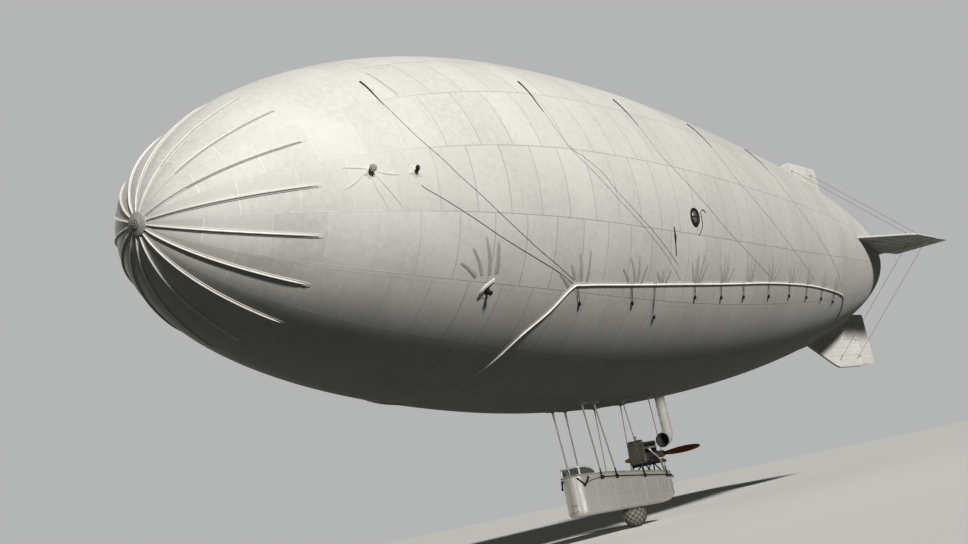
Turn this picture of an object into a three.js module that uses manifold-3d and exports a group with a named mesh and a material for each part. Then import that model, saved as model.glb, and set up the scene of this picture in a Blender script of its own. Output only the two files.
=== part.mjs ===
// A soft airship of about 2,200 cubic metres with an open gondola slung below it, as a 1:2 scale model.
// Millimetres. +X forward to the nose, +Y to port, +Z up. The origin is the centre of lift, on the hull's axis.
// Stations (s) are distances aft of the nose tip. Heights (z) are from the hull's axis amidships.
import * as THREE from 'three';
import { mergeVertices } from 'three/addons/utils/BufferGeometryUtils.js';
import Module from 'manifold-3d';

const wasm = await Module();
wasm.setup();

// Scale and fits
const m = 500; // one metre of the real ship, in the model's millimetres
const gap = 0.3; // left between pieces that touch
const port = 1;
const starboard = -1;

// Hull of the envelope
const hullLength = 46 * m;
const hullRadius = 4.906 * m;
const fullestStation = 0.367 * hullLength;
const noseFullness = { along: 2.341, across: 1.919 };
const tailFullness = { along: 1.558, across: 1.763 };
const endRise = 0.521 * m; // the axis curves up towards both ends
const noseDroop = 0.738 * m; // and the first quarter bends down again
const wall = 10; // thickness of the envelope
const hullStations = 30;
const hullSides = 32;
const centreOfLift = 20.4 * m;

// Gondola
const gondola = { wall: 0.03 * m, floorTop: -7.78 * m, chine: 0.14 * m };
const crankHeight = -6.56 * m; // the crankshaft and the propeller's axis

// Tail surfaces
const fin = { thickness: 0.1 * m, outer: 4.7 * m, hinge: 41.8 * m };
const control = { noseRadius: 0.05 * m, clearance: 0.016 * m, chord: 1.85 * m, edge: 0.012 * m };
const lug = { half: 0.02 * m, side: 0.013 * m, radius: 0.034 * m, pin: 0.012 * m, play: 0.5 };

// Finishes
const finish = (color, roughness, metalness = 0) => new THREE.MeshStandardMaterial({ color, roughness, metalness });
const dopedFabric = finish('#c9c7be', 0.7);
const whiteRope = finish('#e9e7df', 0.85);
const darkMetal = finish('#3a3a3a', 0.5, 0.6);
const whiteEnamel = finish('#dedcd3', 0.45);
const wireRope = finish('#77756f', 0.5, 0.8);
const woodVarnish = finish('#7a5433', 0.4);
const leather = finish('#4a3527', 0.6);
const brass = finish('#b08d4c', 0.35, 0.9);
const castMetal = finish('#5b5c5c', 0.55, 0.7);
const clearGlass = new THREE.MeshStandardMaterial({ color: '#cfd8da', roughness: 0.1, transparent: true, opacity: 0.35 });
const canvas = finish('#8f8979', 0.9);

const at = (s, y, z) => new THREE.Vector3(centreOfLift - s, y, z);

function radiusAt(s) {
  const nose = s < fullestStation;
  const reach = nose ? fullestStation : hullLength - fullestStation;
  const fullness = nose ? noseFullness : tailFullness;
  const part = Math.min(1, Math.abs(s - fullestStation) / reach);
  return hullRadius * (1 - part ** fullness.along) ** (1 / fullness.across);
}

function axisAt(s) {
  const along = s / hullLength;
  return endRise * (2 * along - 1) ** 2 - noseDroop * Math.max(0, 1 - 4 * along) ** 2;
}

// A point of the hull at a station and an angle: 0 is the port side, a quarter turn the top
function hullPoint(s, angle, lift = 0) {
  const before = Math.max(0, s - 1);
  const after = Math.min(hullLength, s + 1);
  const slope = (radiusAt(after) - radiusAt(before)) / (after - before);
  const steepness = Math.hypot(1, slope);
  const out = radiusAt(s) + lift / steepness;
  return at(s - (lift * slope) / steepness, out * Math.cos(angle), axisAt(s) + out * Math.sin(angle));
}

// The hull's outward direction there
const hullNormal = (s, angle) => hullPoint(s, angle, 10).sub(hullPoint(s, angle)).normalize();

// A side's angle, given for the port side in degrees
const sideAngle = (side, degrees) => THREE.MathUtils.degToRad(side === port ? degrees : 180 - degrees);

// Solids and meshes
function solidOf(geometry) {
  const bare = geometry.clone();
  bare.deleteAttribute('normal');
  bare.deleteAttribute('uv');
  const merged = mergeVertices(bare, 1e-3);
  const places = merged.attributes.position;
  const order = Array.from(merged.index.array);
  let volume = 0;
  const corner = [new THREE.Vector3(), new THREE.Vector3(), new THREE.Vector3()];
  for (let i = 0; i < order.length; i += 3) {
    corner.forEach((point, k) => point.fromBufferAttribute(places, order[i + k]));
    volume += corner[0].dot(corner[1].cross(corner[2]));
  }
  if (volume < 0) order.reverse();
  const mesh = new wasm.Mesh({
    numProp: 3,
    vertProperties: new Float32Array(places.array),
    triVerts: new Uint32Array(order),
  });
  return new wasm.Manifold(mesh);
}

function geometryOf(solid) {
  const mesh = solid.getMesh();
  const geometry = new THREE.BufferGeometry();
  geometry.setAttribute('position', new THREE.BufferAttribute(new Float32Array(mesh.vertProperties), 3));
  geometry.setIndex(new THREE.BufferAttribute(new Uint32Array(mesh.triVerts), 1));
  geometry.computeVertexNormals();
  return geometry;
}

const joined = (solids) => solids.reduce((whole, solid) => whole.add(solid));

const airship = new THREE.Group();

function addPiece(name, solid, material) {
  const mesh = new THREE.Mesh(geometryOf(solid), material);
  mesh.name = name;
  airship.add(mesh);
  return solid;
}

// A body through rings of points, each ring of the same count or, at an end, a single point
function loft(rings, loop = false) {
  const places = [];
  const starts = rings.map((ring) => {
    const start = places.length / 3;
    ring.forEach((point) => places.push(point.x, point.y, point.z));
    return start;
  });
  const order = [];
  const pairs = loop ? rings.length : rings.length - 1;
  for (let i = 0; i < pairs; i++) {
    const j = (i + 1) % rings.length;
    const count = Math.max(rings[i].length, rings[j].length);
    for (let k = 0; k < count; k++) {
      const next = (k + 1) % count;
      const a = starts[i] + (rings[i].length > 1 ? k : 0);
      const b = starts[i] + (rings[i].length > 1 ? next : 0);
      const c = starts[j] + (rings[j].length > 1 ? k : 0);
      const d = starts[j] + (rings[j].length > 1 ? next : 0);
      if (a !== b) order.push(a, b, c);
      if (c !== d) order.push(b, d, c);
    }
  }
  if (!loop) {
    const last = rings.length - 1;
    for (let k = 1; k + 1 < rings[0].length; k++) order.push(starts[0], starts[0] + k + 1, starts[0] + k);
    for (let k = 1; k + 1 < rings[last].length; k++) order.push(starts[last], starts[last] + k, starts[last] + k + 1);
  }
  const geometry = new THREE.BufferGeometry();
  geometry.setAttribute('position', new THREE.Float32BufferAttribute(places, 3));
  geometry.setIndex(order);
  return solidOf(geometry);
}

function circleShape(radius, sides) {
  const corners = [];
  for (let i = 0; i < sides; i++) {
    const turn = (2 * Math.PI * (i + 0.5)) / sides;
    corners.push(new THREE.Vector2(radius * Math.cos(turn), radius * Math.sin(turn)));
  }
  return new THREE.Shape(corners);
}

function tube(path, radius, sides, steps) {
  const options = { extrudePath: path, steps, bevelEnabled: false };
  return solidOf(new THREE.ExtrudeGeometry(circleShape(radius, sides), options));
}

const rod = (from, to, radius, sides = 8) => tube(new THREE.LineCurve3(from, to), radius, sides, 1);

// A turned piece: its profile is [radius, distance along the direction] from the given place
function turned(profile, sides, place, direction) {
  const points = profile.map(([radius, along]) => new THREE.Vector2(radius, along));
  const geometry = new THREE.LatheGeometry(points, sides);
  const turn = new THREE.Quaternion().setFromUnitVectors(new THREE.Vector3(0, 1, 0), direction);
  geometry.applyQuaternion(turn);
  geometry.translate(place.x, place.y, place.z);
  return solidOf(geometry);
}

function box(sFrom, sTo, yFrom, yTo, zFrom, zTo) {
  const geometry = new THREE.BoxGeometry(sTo - sFrom, yTo - yFrom, zTo - zFrom);
  geometry.translate(centreOfLift - (sFrom + sTo) / 2, (yFrom + yTo) / 2, (zFrom + zTo) / 2);
  return solidOf(geometry);
}

// A plate whose outline is [station, height], upright on the middle plane
function uprightPlate(outline, thickness) {
  const shape = new THREE.Shape(outline.map(([s, z]) => new THREE.Vector2(centreOfLift - s, z)));
  const geometry = new THREE.ExtrudeGeometry(shape, { depth: thickness, bevelEnabled: false });
  geometry.rotateX(Math.PI / 2);
  geometry.translate(0, thickness / 2, 0);
  return solidOf(geometry);
}

// A plate whose outline is [station, y], level at a height
function levelPlate(outline, thickness, z) {
  const shape = new THREE.Shape(outline.map(([s, y]) => new THREE.Vector2(centreOfLift - s, y)));
  const geometry = new THREE.ExtrudeGeometry(shape, { depth: thickness, bevelEnabled: false });
  geometry.translate(0, 0, z - thickness / 2);
  return solidOf(geometry);
}

// Envelope: one skin, open where the air duct enters the belly. Its rings lie closer together at the ends.
function skinCorner(i, k, lift) {
  if (i === 0) return at(-lift, 0, axisAt(0));
  const s = (hullLength * (1 - Math.cos((Math.PI * i) / hullStations))) / 2;
  return hullPoint(s, (2 * Math.PI * k) / hullSides, lift);
}

function hullSolid(lift) {
  const rings = [[skinCorner(0, 0, lift)]];
  for (let i = 1; i < hullStations; i++) {
    const ring = [];
    for (let k = 0; k < hullSides; k++) ring.push(skinCorner(i, k, lift));
    rings.push(ring);
  }
  rings.push([at(hullLength + lift, 0, axisAt(hullLength))]);
  return loft(rings);
}

const duct = { station: 20.98 * m, radius: 0.165 * m, wall: 0.012 * m, bend: 0.3 * m };
duct.mouth = { station: 20.5 * m, height: -6.14 * m, radius: 0.22 * m };
duct.top = -4.5 * m; // inside the belly, before it is trimmed to the skin

const outerHull = hullSolid(0);
const seatedHull = hullSolid(gap); // what pieces that lie on the skin are trimmed by
const ductHole = turned(
  [[0, 0], [duct.radius - duct.wall, 0], [duct.radius - duct.wall, m], [0, m]],
  12, at(duct.station, 0, -5.3 * m), new THREE.Vector3(0, 0, 1));
addPiece('envelope', outerHull.subtract(hullSolid(-wall)).subtract(ductHole), dopedFabric);

// Nose: a dark cap, and sixteen battens that run back from a ring around it
const noseCap = { radius: 0.25 * m, front: 0.07 * m, flat: 0.12 * m };
const batten = { count: 16, half: 0.03 * m, rise: 0.05 * m };
const battenRows = [0.5, 1, 2, 3, 4, 4.5]; // counted in the skin's rings, so that it follows the flats
const battenRing = { inner: 0.27 * m, outer: 0.36 * m, front: 0.05 * m };
const noseCentre = at(0, 0, axisAt(0));
const ahead = new THREE.Vector3(1, 0, 0);

function noseCapSolid(grow) {
  const deep = -0.2 * m;
  const rim = noseCap.radius + grow;
  return turned(
    [[0, deep], [rim, deep], [rim, 0.02 * m], [noseCap.flat + grow, noseCap.front + grow],
      [0, noseCap.front + grow]],
    24, noseCentre, ahead);
}

// A batten along one corner line of the skin: its foot lies on the flats at both sides of the line
function battenSolid(k) {
  const rows = battenRows.map((row) => {
    const i = Math.floor(row);
    const corner = (step) => skinCorner(i, k + step, gap).lerp(skinCorner(i + 1, k + step, gap), row - i);
    const middle = corner(0);
    const outward = hullNormal(centreOfLift - middle.x, (2 * Math.PI * k) / hullSides);
    const foot = (step) => {
      const way = corner(step).sub(middle).normalize();
      return middle.clone().addScaledVector(way, batten.half);
    };
    const shoulder = (step) => foot(step).addScaledVector(outward, 0.7 * batten.rise);
    const crown = middle.clone().addScaledVector(outward, batten.rise);
    return [middle, foot(1), shoulder(1), crown, shoulder(-1), foot(-1)];
  });
  return loft(rows);
}

function nose() {
  addPiece('nose_cap', noseCapSolid(0).subtract(seatedHull), darkMetal);
  const ring = turned(
    [[battenRing.inner, -0.2 * m], [battenRing.outer, -0.2 * m], [battenRing.outer, 0.02 * m],
      [battenRing.inner, battenRing.front], [battenRing.inner, -0.2 * m]],
    16, noseCentre, ahead).subtract(seatedHull);
  const pieces = [ring];
  for (let i = 0; i < batten.count; i++) pieces.push(battenSolid((i * hullSides) / batten.count));
  addPiece('nose_battens', joined(pieces).subtract(noseCapSolid(gap)), whiteRope);
}
nose();

// Suspension belt: a padded rope along each side, which turns down under the belly at both ends
const belt = { radius: 0.055 * m, lift: 0.02 * m, keelGap: 0.02 };
// columns: station in metres, angle below the side in degrees
const beltRoute = [
  [8.6, 90 - belt.keelGap], [8.42, 73.5], [8.55, 64], [8.85, 51.5], [9.45, 41.5], [9.98, 33.6], [10.5, 32.2],
  [12.5, 30.5], [15.1, 28.8], [18.5, 27.3], [22.1, 26.2], [26, 26.8], [29, 29.2], [31.3, 32.6],
  [32.2, 36.5], [33.0, 50], [33.4, 64], [33.6, 90 - belt.keelGap],
];

function suspensionBelt(name, side) {
  const points = [];
  beltRoute.forEach(([s, below], i) => {
    points.push(hullPoint(s * m, sideAngle(side, -below), belt.lift));
    if (i + 1 === beltRoute.length) return;
    const next = beltRoute[i + 1];
    points.push(hullPoint(((s + next[0]) / 2) * m, sideAngle(side, -(below + next[1]) / 2), belt.lift));
  });
  const rope = tube(new THREE.CatmullRomCurve3(points, false, 'centripetal'), belt.radius, 5, 36);
  const half = side === port ? box(0, hullLength, gap, 6 * m, -6 * m, 0) : box(0, hullLength, -6 * m, -gap, -6 * m, 0);
  addPiece(name, rope.subtract(seatedHull).intersect(half), whiteRope);
}
suspensionBelt('port_belt', port);
suspensionBelt('starboard_belt', starboard);

// Gas valves, tied sleeves and line fittings on the skin
const valve = { station: 15.84 * m, degrees: -6.4, radius: 0.3 * m };
const sleeveStations = { forward: [3.66, 3], aft: [4.78, 1.8] };
const fitting = { station: 7.03 * m, degrees: -37.3 };

function gasValve(name, side) {
  const angle = sideAngle(side, valve.degrees);
  const r = valve.radius;
  const body = turned(
    [[0, -0.1 * m], [r, -0.1 * m], [r, 0.03 * m], [0.82 * r, 0.06 * m], [0.7 * r, 0.03 * m],
      [0.4 * r, 0.07 * m], [0, 0.08 * m]],
    20, hullPoint(valve.station, angle), hullNormal(valve.station, angle));
  addPiece(name, body.subtract(seatedHull), darkMetal);
}

function tiedSleeve(name, side, [station, degrees]) {
  const angle = sideAngle(side, degrees);
  const body = turned(
    [[0, -0.06 * m], [0.2 * m, -0.06 * m], [0.2 * m, 0.012 * m], [0.09 * m, 0.04 * m], [0.045 * m, 0.1 * m],
      [0.08 * m, 0.16 * m], [0.05 * m, 0.22 * m], [0, 0.23 * m]],
    12, hullPoint(station * m, angle), hullNormal(station * m, angle));
  addPiece(name, body.subtract(seatedHull), canvas);
}

function lineFitting(name, side) {
  const angle = sideAngle(side, fitting.degrees);
  const body = turned(
    [[0, -0.06 * m], [0.22 * m, -0.06 * m], [0.22 * m, 0.014 * m], [0.07 * m, 0.03 * m], [0.07 * m, 0.14 * m],
      [0, 0.14 * m]],
    12, hullPoint(fitting.station, angle), hullNormal(fitting.station, angle));
  addPiece(name, body.subtract(seatedHull), darkMetal);
}

for (const [word, side] of [['port', port], ['starboard', starboard]]) {
  gasValve(`${word}_gas_valve`, side);
  for (const [place, route] of Object.entries(sleeveStations)) tiedSleeve(`${word}_${place}_sleeve`, side, route);
  lineFitting(`${word}_line_fitting`, side);
}

// Tail: four fins, three of them with a control surface behind a hinge line
const tailHeight = axisAt(fin.hinge); // of the level surfaces, and of the axis that all four stand around
const finEnd = fin.hinge - control.noseRadius - control.clearance; // the fixed part's trailing face
const finLead = { root: 34.6 * m, tip: 38.7 * m, inside: 1.2 * m, corner: 0.5 * m };
const controlSpan = { inner: 2.3 * m, outer: fin.outer - 0.05 * m };
const lugsAt = [2.75 * m, 3.5 * m, 4.25 * m];

function finOutline(sign, end) {
  const { root, tip, inside, corner } = finLead;
  const edge = [[root, inside], [root, radiusAt(root) - 0.1 * m]];
  edge.push([tip - corner, fin.outer - 0.32 * corner], [tip + 0.3 * corner, fin.outer]);
  edge.push([end - 0.25 * corner, fin.outer], [end, fin.outer - 0.25 * corner], [end, inside]);
  return edge.map(([s, out]) => [s, sign * out]);
}

// A hinge lug and the pin's hole in it, reaching aft from the fin to the hinge line
function lugSolids(out, upright) {
  const ends = [out - lug.half, out + lug.half];
  const reach = [finEnd - 0.02 * m, fin.hinge];
  const half = lug.radius;
  const z = tailHeight;
  const arm = upright
    ? box(reach[0], reach[1], -half, half, z + ends[0], z + ends[1])
    : box(reach[0], reach[1], ends[0], ends[1], z - half, z + half);
  const along = upright ? new THREE.Vector3(0, 0, 1) : new THREE.Vector3(0, 1, 0);
  const from = upright ? at(fin.hinge, 0, z + ends[0]) : at(fin.hinge, ends[0], z);
  const deep = 2 * lug.half;
  const eye = turned([[0, 0], [half, 0], [half, deep], [0, deep]], 10, from, along);
  const bore = lug.pin + lug.play;
  const hole = turned([[0, -m], [bore, -m], [bore, m], [0, m]], 8, from, along);
  return arm.add(eye).subtract(hole);
}

// A control surface: round nose on the hinge line, tapering aft, with a notch and a pin at each lug
function controlSolid(outs, upright) {
  const r = control.noseRadius;
  const profile = [];
  for (let i = 0; i <= 6; i++) {
    const turn = Math.PI / 2 + (Math.PI * i) / 6;
    profile.push(new THREE.Vector2(-r * Math.cos(turn), r * Math.sin(turn)));
  }
  profile.push(new THREE.Vector2(-control.chord, -control.edge), new THREE.Vector2(-control.chord, control.edge));
  const [low, high] = outs;
  const shape = new THREE.Shape(profile);
  const geometry = new THREE.ExtrudeGeometry(shape, { depth: high - low, bevelEnabled: false });
  if (upright) {
    geometry.translate(centreOfLift - fin.hinge, 0, low + tailHeight);
  } else {
    geometry.rotateX(Math.PI / 2);
    geometry.translate(centreOfLift - fin.hinge, high, tailHeight);
  }
  return solidOf(geometry);
}

function controlSurface(sign, upright) {
  const outs = sign > 0 ? [controlSpan.inner, controlSpan.outer] : [-controlSpan.outer, -controlSpan.inner];
  let body = controlSolid(outs, upright);
  const z = tailHeight;
  const deep = lug.half + lug.side;
  const reach = lug.radius + lug.side;
  for (const out of lugsAt) {
    const middle = sign * out;
    const notch = upright
      ? box(fin.hinge - m, fin.hinge + reach, -m, m, z + middle - deep, z + middle + deep)
      : box(fin.hinge - m, fin.hinge + reach, middle - deep, middle + deep, -m, m);
    body = body.subtract(notch);
    const span = deep + 0.02 * m;
    const from = upright ? at(fin.hinge, 0, z + middle - span) : at(fin.hinge, middle - span, z);
    const to = upright ? at(fin.hinge, 0, z + middle + span) : at(fin.hinge, middle + span, z);
    body = body.add(rod(from, to, lug.pin, 8));
  }
  return body;
}

function tail() {
  const raised = (outline) => outline.map(([s, out]) => [s, out + tailHeight]);
  const lugs = (sign, upright) => joined(lugsAt.map((out) => lugSolids(sign * out, upright)));
  const upperEnd = fin.hinge + 0.4 * m;
  const upper = uprightPlate(raised(finOutline(1, upperEnd)), fin.thickness);
  const lower = uprightPlate(raised(finOutline(-1, finEnd)), fin.thickness).add(lugs(-1, true));
  const left = levelPlate(finOutline(1, finEnd), fin.thickness, tailHeight).add(lugs(1, false));
  const right = levelPlate(finOutline(-1, finEnd), fin.thickness, tailHeight).add(lugs(-1, false));
  addPiece('upper_fin', upper.subtract(seatedHull), dopedFabric);
  addPiece('lower_fin', lower.subtract(seatedHull), dopedFabric);
  addPiece('port_stabiliser', left.subtract(seatedHull), dopedFabric);
  addPiece('starboard_stabiliser', right.subtract(seatedHull), dopedFabric);
  addPiece('rudder', controlSurface(-1, true), dopedFabric);
  addPiece('port_elevator', controlSurface(1, false), dopedFabric);
  addPiece('starboard_elevator', controlSurface(-1, false), dopedFabric);
}
tail();

// Stays: wires from fin to fin, forward and aft in each quarter
const stay = { radius: 0.006 * m, out: 4.4 * m };
const stayStations = { forward: 39.0 * m, aft: 41.3 * m };

function tailStays() {
  const thick = fin.thickness + 2 * gap;
  const clearUpright = box(34 * m, 43 * m, -thick / 2, thick / 2, -6 * m, 6 * m);
  const clearLevel = box(34 * m, 43 * m, -6 * m, 6 * m, tailHeight - thick / 2, tailHeight + thick / 2);
  for (const [place, s] of Object.entries(stayStations)) {
    for (const [word, side] of [['port', port], ['starboard', starboard]]) {
      for (const [level, up] of [['upper', 1], ['lower', -1]]) {
        const wire = rod(at(s, 0, tailHeight + up * stay.out), at(s, side * stay.out, tailHeight), stay.radius, 6);
        addPiece(`${word}_${level}_${place}_stay`, wire.subtract(clearUpright).subtract(clearLevel), wireRope);
      }
    }
  }
}
tailStays();

// Gondola hull: columns are station, half width, rim height and bottom height, in metres
const gondolaSections = [
  [14.30, 0.20, -6.76, -7.80], [14.36, 0.28, -6.76, -7.86], [14.50, 0.34, -6.77, -7.87],
  [15.10, 0.46, -6.80, -7.89], [15.80, 0.55, -6.85, -7.91], [16.60, 0.60, -6.92, -7.94],
  [18.40, 0.60, -7.07, -8.01], [19.20, 0.55, -7.14, -7.99], [19.65, 0.43, -7.19, -7.90],
  [19.90, 0.20, -7.21, -7.78],
];

function gondolaAt(s) {
  const rows = gondolaSections;
  let i = 0;
  while (i + 2 < rows.length && s / m > rows[i + 1][0]) i++;
  const part = (s / m - rows[i][0]) / (rows[i + 1][0] - rows[i][0]);
  const mix = (column) => (rows[i][column] + (rows[i + 1][column] - rows[i][column]) * part) * m;
  return { half: mix(1), rim: mix(2), bottom: mix(3) };
}

// The gondola's whole form, drawn in by a wall and with its rim raised
function gondolaForm(inset, raise) {
  const rings = gondolaSections.map(([station, half, rim, bottom], i) => {
    let s = station * m;
    if (i === 0) s += inset;
    if (i === gondolaSections.length - 1) s -= inset;
    const w = half * m - inset;
    const top = rim * m + raise;
    const low = bottom * m + inset;
    const chine = Math.min(gondola.chine - inset, w * 0.7);
    const soft = 0.3 * chine;
    const side = [[w, top], [w, low + chine], [w - soft, low + soft], [w - chine, low]];
    const ring = side.map(([y, z]) => at(s, y, z));
    return ring.concat(side.reverse().map(([y, z]) => at(s, -y, z)));
  });
  return loft(rings);
}

const gondolaOuter = gondolaForm(0, 0);
const gondolaSeat = gondolaForm(-gap, gap);
const gondolaInside = gondolaForm(gondola.wall, 0.5 * m);
const cabinRoom = gondolaForm(gondola.wall + gap, 0.5 * m);

// Rim: a padded leather roll around the cockpit's edge
const rim = { radius: 0.028 * m };

function rimRing(radius) {
  const stations = [14.36, 14.5, 15.1, 15.8, 16.6, 18.4, 19.2, 19.65];
  const row = (side) => stations.map((station) => {
    const here = gondolaAt(station * m);
    return at(station * m, side * (here.half - gondola.wall / 2), here.rim + rim.radius * 0.8);
  });
  const first = gondolaAt(14.3 * m);
  const last = gondolaAt(19.9 * m);
  const route = [at(14.3 * m + gondola.wall / 2, 0, first.rim + rim.radius * 0.8), ...row(port)];
  route.push(at(19.9 * m - gondola.wall / 2, 0, last.rim + rim.radius * 0.8), ...row(starboard).reverse());
  const rings = route.map((point, i) => {
    const before = route[(i + route.length - 1) % route.length];
    const after = route[(i + 1) % route.length];
    const along = after.clone().sub(before).normalize();
    const across = new THREE.Vector3(0, 0, 1).cross(along).normalize();
    const up = along.clone().cross(across).normalize();
    const ring = [];
    for (let k = 0; k < 6; k++) {
      const turn = (2 * Math.PI * (k + 0.5)) / 6;
      const offset = across.clone().multiplyScalar(radius * Math.cos(turn));
      ring.push(point.clone().add(offset).addScaledVector(up, radius * Math.sin(turn)));
    }
    return ring;
  });
  return loft(rings, true);
}

const rimGrown = rimRing(rim.radius + gap);
addPiece('gondola_hull', gondolaOuter.subtract(gondolaInside), whiteEnamel);
addPiece('gondola_rim', rimRing(rim.radius).subtract(gondolaSeat), leather);

// Rear deck over the stern, on which the engine stands, and the cabin's floor
const deck = { from: 18.5 * m, drop: 0.05 * m, thickness: 0.03 * m };

function deckSolid(grow) {
  const slope = (gondolaAt(19.9 * m).rim - gondolaAt(deck.from).rim) / (19.9 * m - deck.from);
  const high = gondolaAt(deck.from).rim - deck.drop;
  const far = high + slope * 1.5 * m;
  const start = deck.from - grow;
  const end = deck.from + 1.5 * m;
  const low = deck.thickness + grow;
  const slab = uprightPlate(
    [[start, high + grow], [end, far + grow], [end, far - low], [start, high - low]], 1.4 * m);
  return slab.intersect(gondolaForm(gondola.wall + gap - grow, 0.5 * m));
}

addPiece('rear_deck', deckSolid(0), whiteEnamel);
const floorSlab = box(14 * m, 20 * m, -m, m, -9 * m, gondola.floorTop);
addPiece('cabin_floor', floorSlab.intersect(cabinRoom), woodVarnish);

// Cabin: instrument board, control stand and two bench seats
const floorLevel = gondola.floorTop + gap;

function seat(name, station, half) {
  const top = floorLevel + 0.38 * m;
  const back = floorLevel + 0.8 * m;
  const s = station * m;
  const profile = [
    [s - 0.42 * m, floorLevel], [s, floorLevel], [s + 0.1 * m, back], [s + 0.02 * m, back],
    [s - 0.06 * m, top + 0.06 * m], [s - 0.42 * m, top + 0.04 * m],
  ];
  addPiece(name, uprightPlate(profile, 2 * half * m), leather);
}

function cabin() {
  const board = box(14.86 * m, 14.9 * m, -m, m, -7.12 * m, -6.86 * m);
  addPiece('instrument_board', board.intersect(cabinRoom), woodVarnish);
  const post = { s: 15.25 * m, top: -7.2 * m, wheel: 0.19 * m };
  const stand = uprightPlate(
    [[post.s - 0.1 * m, floorLevel], [post.s + 0.1 * m, floorLevel], [post.s + 0.04 * m, post.top],
      [post.s - 0.06 * m, post.top]], 0.1 * m);
  const hubHeight = post.top + 0.05 * m;
  const hub = turned([[0, -0.08 * m], [0.045 * m, -0.08 * m], [0.045 * m, 0.08 * m], [0, 0.08 * m]],
    12, at(post.s + 0.02 * m, 0, hubHeight - 0.03 * m), new THREE.Vector3(-1, 0, 0));
  const ring = turned(
    [[post.wheel - 0.015 * m, 0], [post.wheel, -0.012 * m], [post.wheel + 0.015 * m, 0], [post.wheel, 0.012 * m],
      [post.wheel - 0.015 * m, 0]],
    14, at(post.s + 0.08 * m, 0, hubHeight - 0.03 * m), new THREE.Vector3(-1, 0, 0));
  const spokes = [];
  for (let i = 0; i < 4; i++) {
    const turn = (Math.PI * (2 * i + 1)) / 4;
    const middle = at(post.s + 0.08 * m, 0, hubHeight - 0.03 * m);
    const end = middle.clone().add(new THREE.Vector3(0, Math.cos(turn), Math.sin(turn)).multiplyScalar(post.wheel));
    spokes.push(rod(middle, end, 0.008 * m, 6));
  }
  addPiece('control_stand', joined([stand, hub, ring, ...spokes]), woodVarnish);
  seat('front_seat', 16.35, 0.42);
  seat('rear_seat', 17.75, 0.46);
}
cabin();

// Windscreen: a bent frame on the rim with a pillar at each front corner, and three panes
const screen = { radius: 0.016 * m, corner: 14.44 * m, half: 0.29 * m, top: -6.5 * m, pane: 0.01 * m };

function screenFrame(radius) {
  const hoop = [
    at(15.12 * m, 0.45 * m, -6.76 * m), at(14.95 * m, 0.42 * m, -6.62 * m), at(14.7 * m, 0.36 * m, -6.53 * m),
    at(screen.corner, screen.half, screen.top), at(screen.corner - 0.04 * m, 0.16 * m, screen.top),
    at(screen.corner - 0.05 * m, 0, screen.top),
  ];
  const mirrored = hoop.slice(0, -1).reverse().map((p) => new THREE.Vector3(p.x, -p.y, p.z));
  const frame = tube(new THREE.CatmullRomCurve3([...hoop, ...mirrored], false, 'centripetal'), radius, 5, 16);
  const pillars = [port, starboard].map((side) => rod(
    at(screen.corner, side * screen.half, -6.8 * m), at(screen.corner, side * screen.half, screen.top), radius, 6));
  return joined([frame, ...pillars]);
}

function windscreen() {
  const grown = screenFrame(screen.radius + gap);
  addPiece('windscreen_frame', screenFrame(screen.radius).subtract(rimGrown).subtract(gondolaSeat), whiteEnamel);
  const front = box(screen.corner - screen.pane / 2, screen.corner + screen.pane / 2,
    -screen.half, screen.half, -6.8 * m, screen.top - 0.002 * m);
  const trim = (solid) => solid.subtract(grown).subtract(rimGrown).subtract(gondolaSeat);
  const largest = (solid) => solid.decompose().sort((a, b) => b.volume() - a.volume())[0];
  addPiece('front_pane', largest(trim(front)), clearGlass);
  for (const [word, side] of [['port', port], ['starboard', starboard]]) {
    const far = at(15.09 * m, side * 0.44 * m, 0);
    const near = at(screen.corner, side * screen.half, 0);
    const length = near.distanceTo(far);
    const shape = new THREE.Shape([
      new THREE.Vector2(0, -6.82 * m), new THREE.Vector2(length, -6.82 * m), new THREE.Vector2(length, screen.top),
      new THREE.Vector2(length * 0.62, -6.53 * m), new THREE.Vector2(length * 0.25, -6.62 * m),
      new THREE.Vector2(0, -6.76 * m),
    ]);
    const geometry = new THREE.ExtrudeGeometry(shape, { depth: screen.pane, bevelEnabled: false });
    geometry.rotateX(Math.PI / 2);
    geometry.translate(0, screen.pane / 2, 0);
    geometry.rotateZ(Math.atan2(near.y - far.y, near.x - far.x));
    geometry.translate(far.x, far.y, 0);
    addPiece(`${word}_pane`, largest(trim(solidOf(geometry))), clearGlass);
  }
}
windscreen();

// Suspension: on each side a rail with an eye plate at each line, and the lines up to patches on the belly
const line = { radius: 0.014 * m, rail: 0.012 * m, drop: 0.1 * m, stand: 0.035 * m, top: 0.5 * m };
// columns: station at the gondola and station at the belly, in metres
const lineStations = [[15.25, 15.05], [15.98, 15.75], [17.6, 17.5], [19.1, 19.2]];

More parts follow.
